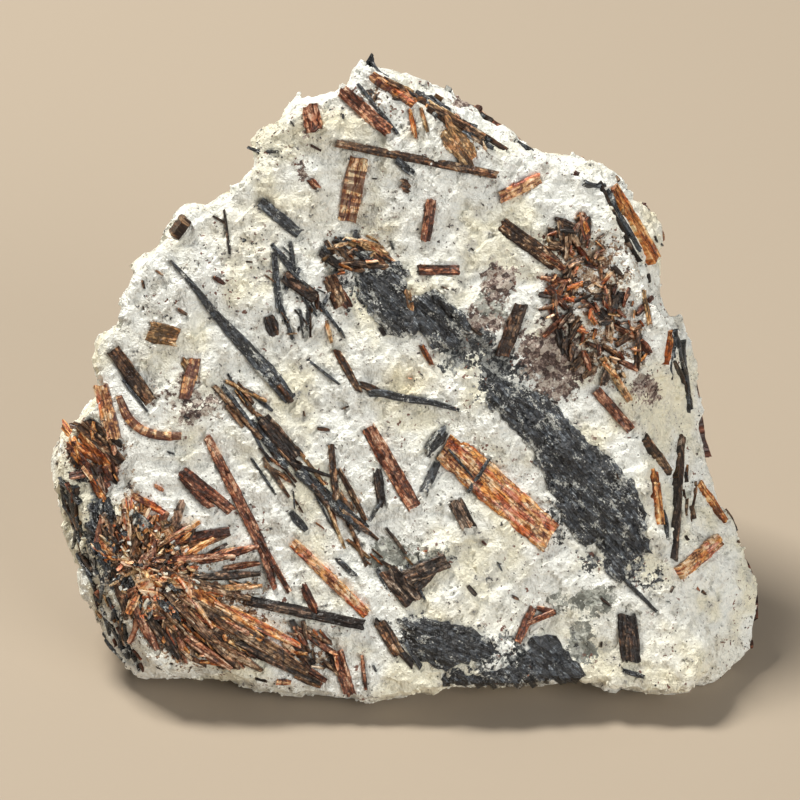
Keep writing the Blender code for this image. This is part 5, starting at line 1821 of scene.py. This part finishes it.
@dataclass
class CrystalScatter(Crystals):
    """Crystals over all sides of the rock: small ones in front, groups of them on the hidden sides.

    Sizes are in millimetres.
    """

    count: int = 150
    length: Span = (0.6, 2.6)
    slender: Span = (0.12, 0.34)
    clearance: float = 0.5
    groups: int = 44
    group_gap: float = 8.0
    group_reach: float = 5.5
    long: float = 12.0
    short: float = 1.6
    widest: float = 2.6
    clear_of_ground: float = 1.4
    heading_deg: float = -52.0
    scatter_deg: float = 34.0
    step: float = 0.3
    cast: float = 3.0
    deepest: float = 5.0
    least_facing: float = 0.55
    lowest: float = 3.0
    front_facing: float = 0.35
    heading_scatter_deg: float = 40.0
    main_share: float = 0.6
    mass_count: int = 26
    draws_each: int = 8
    rng: random.Random = field(default_factory=partial(random.Random, 77))
    pieces: dict[Mineral, MeshParts] = field(default_factory=lambda: {m: MeshParts() for m in Mineral})

    @staticmethod
    def toward(normal: Vector, angle: float) -> Vector:
        """A direction along the surface.

        Args:
            normal: How the surface faces.
            angle: Its angle on the face plane.

        Returns:
            The direction.
        """
        flat = Vector((math.cos(angle), math.sin(angle), 0.0))
        along = flat - normal * flat.dot(normal)
        if along.length < 0.25:
            flat = Vector((0.0, math.cos(angle), math.sin(angle)))
            along = flat - normal * flat.dot(normal)
        return along.normalized()

    def lay(self, mineral: Mineral, spot: Vector, normal: Vector, along: Vector, size: Span,
            proud: float, rim: float = 1.0) -> None:
        """Lay one crystal on the rock, unless it would reach the ground or hang over an edge.

        Args:
            mineral: Its finish.
            spot: Its middle.
            normal: How the rock faces there.
            along: Its direction.
            size: Its length and width.
            proud: How far it stands out.
            rim: How far the rock may face the front below it.
        """
        lightness = self.rng.uniform(-0.2, 0.2)
        length, width = size
        share = np.linspace(-0.5, 0.5, max(5, int(length / self.step) + 1))
        line = []
        for part in share:
            point = spot + along * (part * length)
            hit, facing, _, far = self.maker.lump.tree.ray_cast(point + normal * self.cast, -normal)
            if hit is None or far > self.deepest or facing.z > rim:
                return
            if facing.dot(normal) < self.least_facing:
                return
            line.append(np.array(hit))
        places = self.maker.smooth(np.array(line), 2)
        if FACE.world(places)[:, 2].min() < self.clear_of_ground * MM + width * MM / 2.0:
            return
        shape = BladeShape(proud=proud, along_step=self.step, across_step=0.2, jag=0.3, ragged=0.08)
        self.maker.place_blade(self.pieces[mineral], places, (share + 0.5) * length, np.array(normal),
                               tapered(width, 0.8, 1.0, 0.95, 0.7), shape, 0, lightness)

    def strew(self, faces: Sequence[tuple[Vector, Vector]]) -> None:
        """Strew small single crystals over the face.

        Args:
            faces: Places of the face and how they look out.
        """
        taken = self.maker.seats.blades
        spots = np.vstack([places for places, _, _ in taken])
        half = np.concatenate([width / 2.0 for _, _, width in taken])
        for spot, normal in faces[:self.count]:
            length = self.rng.uniform(*self.length) * self.rng.uniform(0.4, 1.0)
            width = length * self.rng.uniform(*self.slender)
            gap = (np.linalg.norm(spots - np.array(spot), axis=1) - half).min()
            if gap < self.clearance + length * 0.3:
                continue
            angle = math.radians(self.rng.gauss(self.heading_deg, self.scatter_deg))
            mineral = self.rng.choice((BLACK, DARK, BROWN, BLACK, DARK, RUST))
            self.lay(mineral, spot, normal, self.toward(normal, angle), (length, width),
                     self.rng.uniform(0.1, 0.26))

    def group(self, centre: Vector, normal: Vector) -> None:
        """Make one group of crystals on a hidden side.

        Args:
            centre: Its middle.
            normal: How the rock faces there.
        """
        rng = self.rng
        habit = rng.choice((Habit.PARALLEL,) * 4 + (Habit.STAR, Habit.MASS))
        side = self.toward(normal, math.radians(rng.gauss(self.heading_deg, self.heading_scatter_deg)))
        across = normal.cross(side)
        main = rng.choice((COPPER, RUST, BROWN, DARK, BANDED))
        count = {Habit.PARALLEL: rng.randint(3, 8), Habit.STAR: rng.randint(18, 34),
                 Habit.MASS: self.mass_count}[habit]
        for number in range(count):
            spread = rng.gauss(0.0, 0.45) * self.group_reach
            drift = rng.gauss(0.0, 0.45) * self.group_reach
            length = self.short + (self.long - self.short) * rng.random() ** 2.2
            width = min(self.widest, length * rng.uniform(0.10, 0.30))
            mineral = main
            if rng.random() >= self.main_share:
                mineral = rng.choice((BLACK, BROWN, DARK, GOLD, RUST))
            angle = rng.gauss(0.0, 0.22)
            proud = rng.uniform(0.14, 0.4)
            if habit is Habit.STAR:
                angle = rng.gauss(0.0, 0.65)
                length = 1.2 + 6.5 * rng.random() ** 2
                width = rng.uniform(0.3, 0.6) + 0.07 * length
            elif habit is Habit.MASS:
                mineral = BLACK
                angle *= 0.5
                length, width = rng.uniform(2.0, 6.5), rng.uniform(0.7, 1.7)
                drift, spread = drift * 0.7, spread * 0.4
                proud = 0.12 + 0.012 * number
            along = side * math.cos(angle) + across * math.sin(angle)
            spot = centre + side * drift + across * spread
            if habit is Habit.STAR:
                spot = centre + along * (length * 0.5 + rng.uniform(-0.5, 1.4))
            self.lay(mineral, spot, normal, along, (length, width), proud, 0.12)

    def build(self) -> None:
        """Build and dress the crystals, one piece for each mineral."""
        points, _, faces = self.maker.lump.smooth
        a, b, c = (points[faces[:, corner]] for corner in range(3))
        square = np.cross(b - a, c - b)
        area = np.linalg.norm(square, axis=1)
        chosen = self.rng.choices(range(len(faces)), weights=area.tolist(), k=self.count * self.draws_each)
        drawn = [(Vector(a[index]), Vector(square[index] / area[index])) for index in chosen
                 if FACE.world(a[index])[2] > self.lowest * MM]
        self.strew([item for item in drawn if item[1].z >= self.front_facing])
        centres: list[Vector] = []
        for spot, normal in drawn:
            apart = all((spot - other).length > self.group_gap for other in centres)
            if normal.z < 0.0 and apart and len(centres) < self.groups:
                centres.append(spot)
                self.group(spot, normal)
        for mineral, parts in self.pieces.items():
            if parts.count:
                self.finish(parts, f"strewn_{mineral.value}_crystals", [mineral], SLOTS[mineral])
        LOG.info("hidden groups: %d", len(centres))


@dataclass(frozen=True)
class GrainScatter:
    """Loose-looking grains that stand out of the rock, spread by a node tree: sizes in millimetres."""

    name: str
    per_mm2: float
    smallest: float
    largest: float
    clump: float
    seed: int
    clumping: Span = (0.46, 0.64)
    stretch: tuple[Spot, Spot] = ((0.6, 0.6, 0.35), (1.4, 1.1, 0.9))

    def tree(self, given: dict[str, object]) -> bpy.types.NodeTree:
        """The node tree that spreads grains over a surface.

        Args:
            given: The names of its inputs, after the surface, each with a value of its kind.

        Returns:
            A geometry tree with those inputs.
        """
        tree = bpy.data.node_groups.new(self.name, "GeometryNodeTree")
        kinds = {float: "Float", int: "Int"}
        tree.interface.new_socket("Geometry", in_out="INPUT", socket_type="NodeSocketGeometry")
        for title, value in given.items():
            kind = "NodeSocket" + kinds.get(type(value), "Material")
            tree.interface.new_socket(title, in_out="INPUT", socket_type=kind)
        tree.interface.new_socket("Geometry", in_out="OUTPUT", socket_type="NodeSocketGeometry")
        add = partial(add_node, tree)
        scaled = partial(add, "VectorMath", operation="SCALE")
        drawn = partial(add, "FunctionNodeRandomValue")
        surface, density, smallest, largest, clump, seed, finish = add(
            "NodeGroupInput", out=("Geometry", *given))
        per_clump = add("Math", 1.0, clump, operation="DIVIDE")
        looked_up = scaled({0: add("GeometryNodeInputPosition"), "Scale": per_clump})
        share = add("MapRange", add("TexNoise", looked_up, None, 1.0, 3.0), *self.clumping, **SMOOTH)
        points = add("GeometryNodeDistributePointsOnFaces", {
            "Mesh": surface, "Seed": seed, "Density": add("Math", share, density, **TIMES)})
        turn = drawn({"Min": (0.0,) * 3, "Max": (math.tau,) * 3, "Seed": seed}, data_type="FLOAT_VECTOR")
        size = drawn({2: smallest, 3: largest, "Seed": seed}, out=1, data_type="FLOAT")
        least, most = self.stretch
        stretch = drawn({"Min": least, "Max": most, "Seed": seed}, data_type="FLOAT_VECTOR")
        grains = add("GeometryNodeInstanceOnPoints", {
            "Points": points, "Rotation": turn, "Scale": scaled({0: stretch, "Scale": size}),
            "Instance": add("GeometryNodeMeshIcoSphere", {"Radius": 1.0, "Subdivisions": 1})})
        real = add("GeometryNodeRealizeInstances", grains)
        add("NodeGroupOutput", add("GeometryNodeSetMaterial", {"Geometry": real, "Material": finish}))
        return tree

    def build(self, lump: bpy.types.Object, material: bpy.types.Material, slot: str) -> None:
        """Spread the grains.

        Args:
            lump: The rock that carries them.
            material: Their finish.
            slot: The slot name for it, passed on to settle.
        """
        carrier = put_in_scene(self.name + "_carrier", lump.data.copy())
        modifier = carrier.modifiers.new("grains", "NODES")
        given = {
            "Grains per square metre": self.per_mm2 / (MM * MM), "Smallest": self.smallest * MM / 2.0,
            "Largest": self.largest * MM / 2.0, "Clump size": self.clump * MM, "Seed": self.seed,
            "Finish": material,
        }
        modifier.node_group = self.tree(given)
        for item in modifier.node_group.interface.items_tree:
            if item.in_out == "INPUT" and item.name in given:
                modifier[item.identifier] = given[item.name]
        evaluated = carrier.evaluated_get(bpy.context.evaluated_depsgraph_get())
        mesh = bpy.data.meshes.new_from_object(evaluated)
        bpy.data.objects.remove(carrier, do_unlink=True)
        mesh.vertices.foreach_set("co", within_box(read_out(mesh.vertices, "co", 3)).ravel())
        mesh.update()
        settle(put_in_scene(self.name, mesh), slot)


@dataclass(frozen=True)
class Studio:
    """A pale floor, soft light and the camera at the photograph's angle.

    Each lamp has a name, a place, a side, watts and a colour: lengths in metres.
    """

    sensor_mm: float = 36.0
    frame_px: float = 800.0
    floor_m: float = 1.6
    floor_colour: str = "A69887"
    floor_roughness: float = 0.8
    sky_colour: str = "F6F8F8"
    sky_strength: float = 0.19
    aim: Spot = (0.0, 0.0, 0.03)
    lamps: tuple[tuple[str, Spot, float, float, str], ...] = (
        ("softbox_above", (-0.38, 0.27, 0.86), 0.26, 13.4, "FFFCF4"),
        ("softbox_front", (0.68, -0.84, 0.47), 0.7, 8.3, "FFFEFA"),
    )

    def floor(self) -> None:
        """A plain pale floor, finished as honed stone: matt, with no pattern."""
        mesh = bpy.data.meshes.new("floor")
        half = self.floor_m / 2.0
        corners = [(-half, -half, 0.0), (half, -half, 0.0), (half, half, 0.0), (-half, half, 0.0)]
        mesh.from_pydata(corners, [], [(0, 1, 2, 3)])
        material, tree, _ = new_material("floor_plain_pale")
        connect(tree, tree.nodes["Principled BSDF"], {
            "Base Color": self.floor_colour, "Roughness": self.floor_roughness})
        mesh.materials.append(material)
        put_in_scene("floor", mesh)

    def camera(self) -> None:
        """The camera, square to the broken face."""
        data = bpy.data.cameras.new("camera")
        data.sensor_width = self.sensor_mm
        data.lens = self.sensor_mm * FACE.eye_mm / (self.frame_px * FACE.mm_per_pixel)
        data.clip_start, data.clip_end = 0.01, 10.0
        item = put_in_scene("camera", data)
        item.location = FACE.world(np.array([0.0, 0.0, FACE.eye_mm]))
        item.rotation_euler = FACE.turn().to_euler()
        bpy.context.scene.camera = item

    def build(self) -> None:
        """Set the stage."""
        self.floor()
        self.camera()
        for name, spot, side, watts, colour in self.lamps:
            data = bpy.data.lights.new(name, "AREA")
            data.size = side
            data.energy = watts
            data.color = linear(colour)[:3]
            item = put_in_scene(name, data)
            item.location = spot
            item.rotation_euler = (Vector(self.aim) - Vector(spot)).to_track_quat("-Z", "Y").to_euler()
        world = bpy.data.worlds.new("studio")
        world.use_nodes = True
        connect(world.node_tree, world.node_tree.nodes["Background"], {
            "Color": self.sky_colour, "Strength": self.sky_strength})
        bpy.context.scene.world = world
        bpy.context.scene.view_settings.view_transform = "Standard"


def write_sizes() -> None:
    """Bring the view layer up to date."""
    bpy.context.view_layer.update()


def main() -> None:
    """Build the specimen and its stage in order."""
    logging.basicConfig(level=logging.INFO)
    palette = Palette()
    lump = FeldsparLump()
    lump.prepare()
    maker = BladeMaker(lump)
    for kind in (StraightCrystals, GrownCrystals, AegirineMasses, Thickets, SmallCrystals, CrystalScatter):
        kind(maker, palette).build()
    rock = lump.build(palette, maker.seats)
    GrainScatter("pale_grains", 0.9, 0.2, 0.7, 5.0, 3).build(rock, palette.feldspar, "feldspar")
    GrainScatter("dark_grains", 0.24, 0.08, 0.32, 7.0, 9).build(rock, palette.crystal[DARK], "aegirine")
    Studio().build()
    write_sizes()


if __name__ == "__main__":
    main()
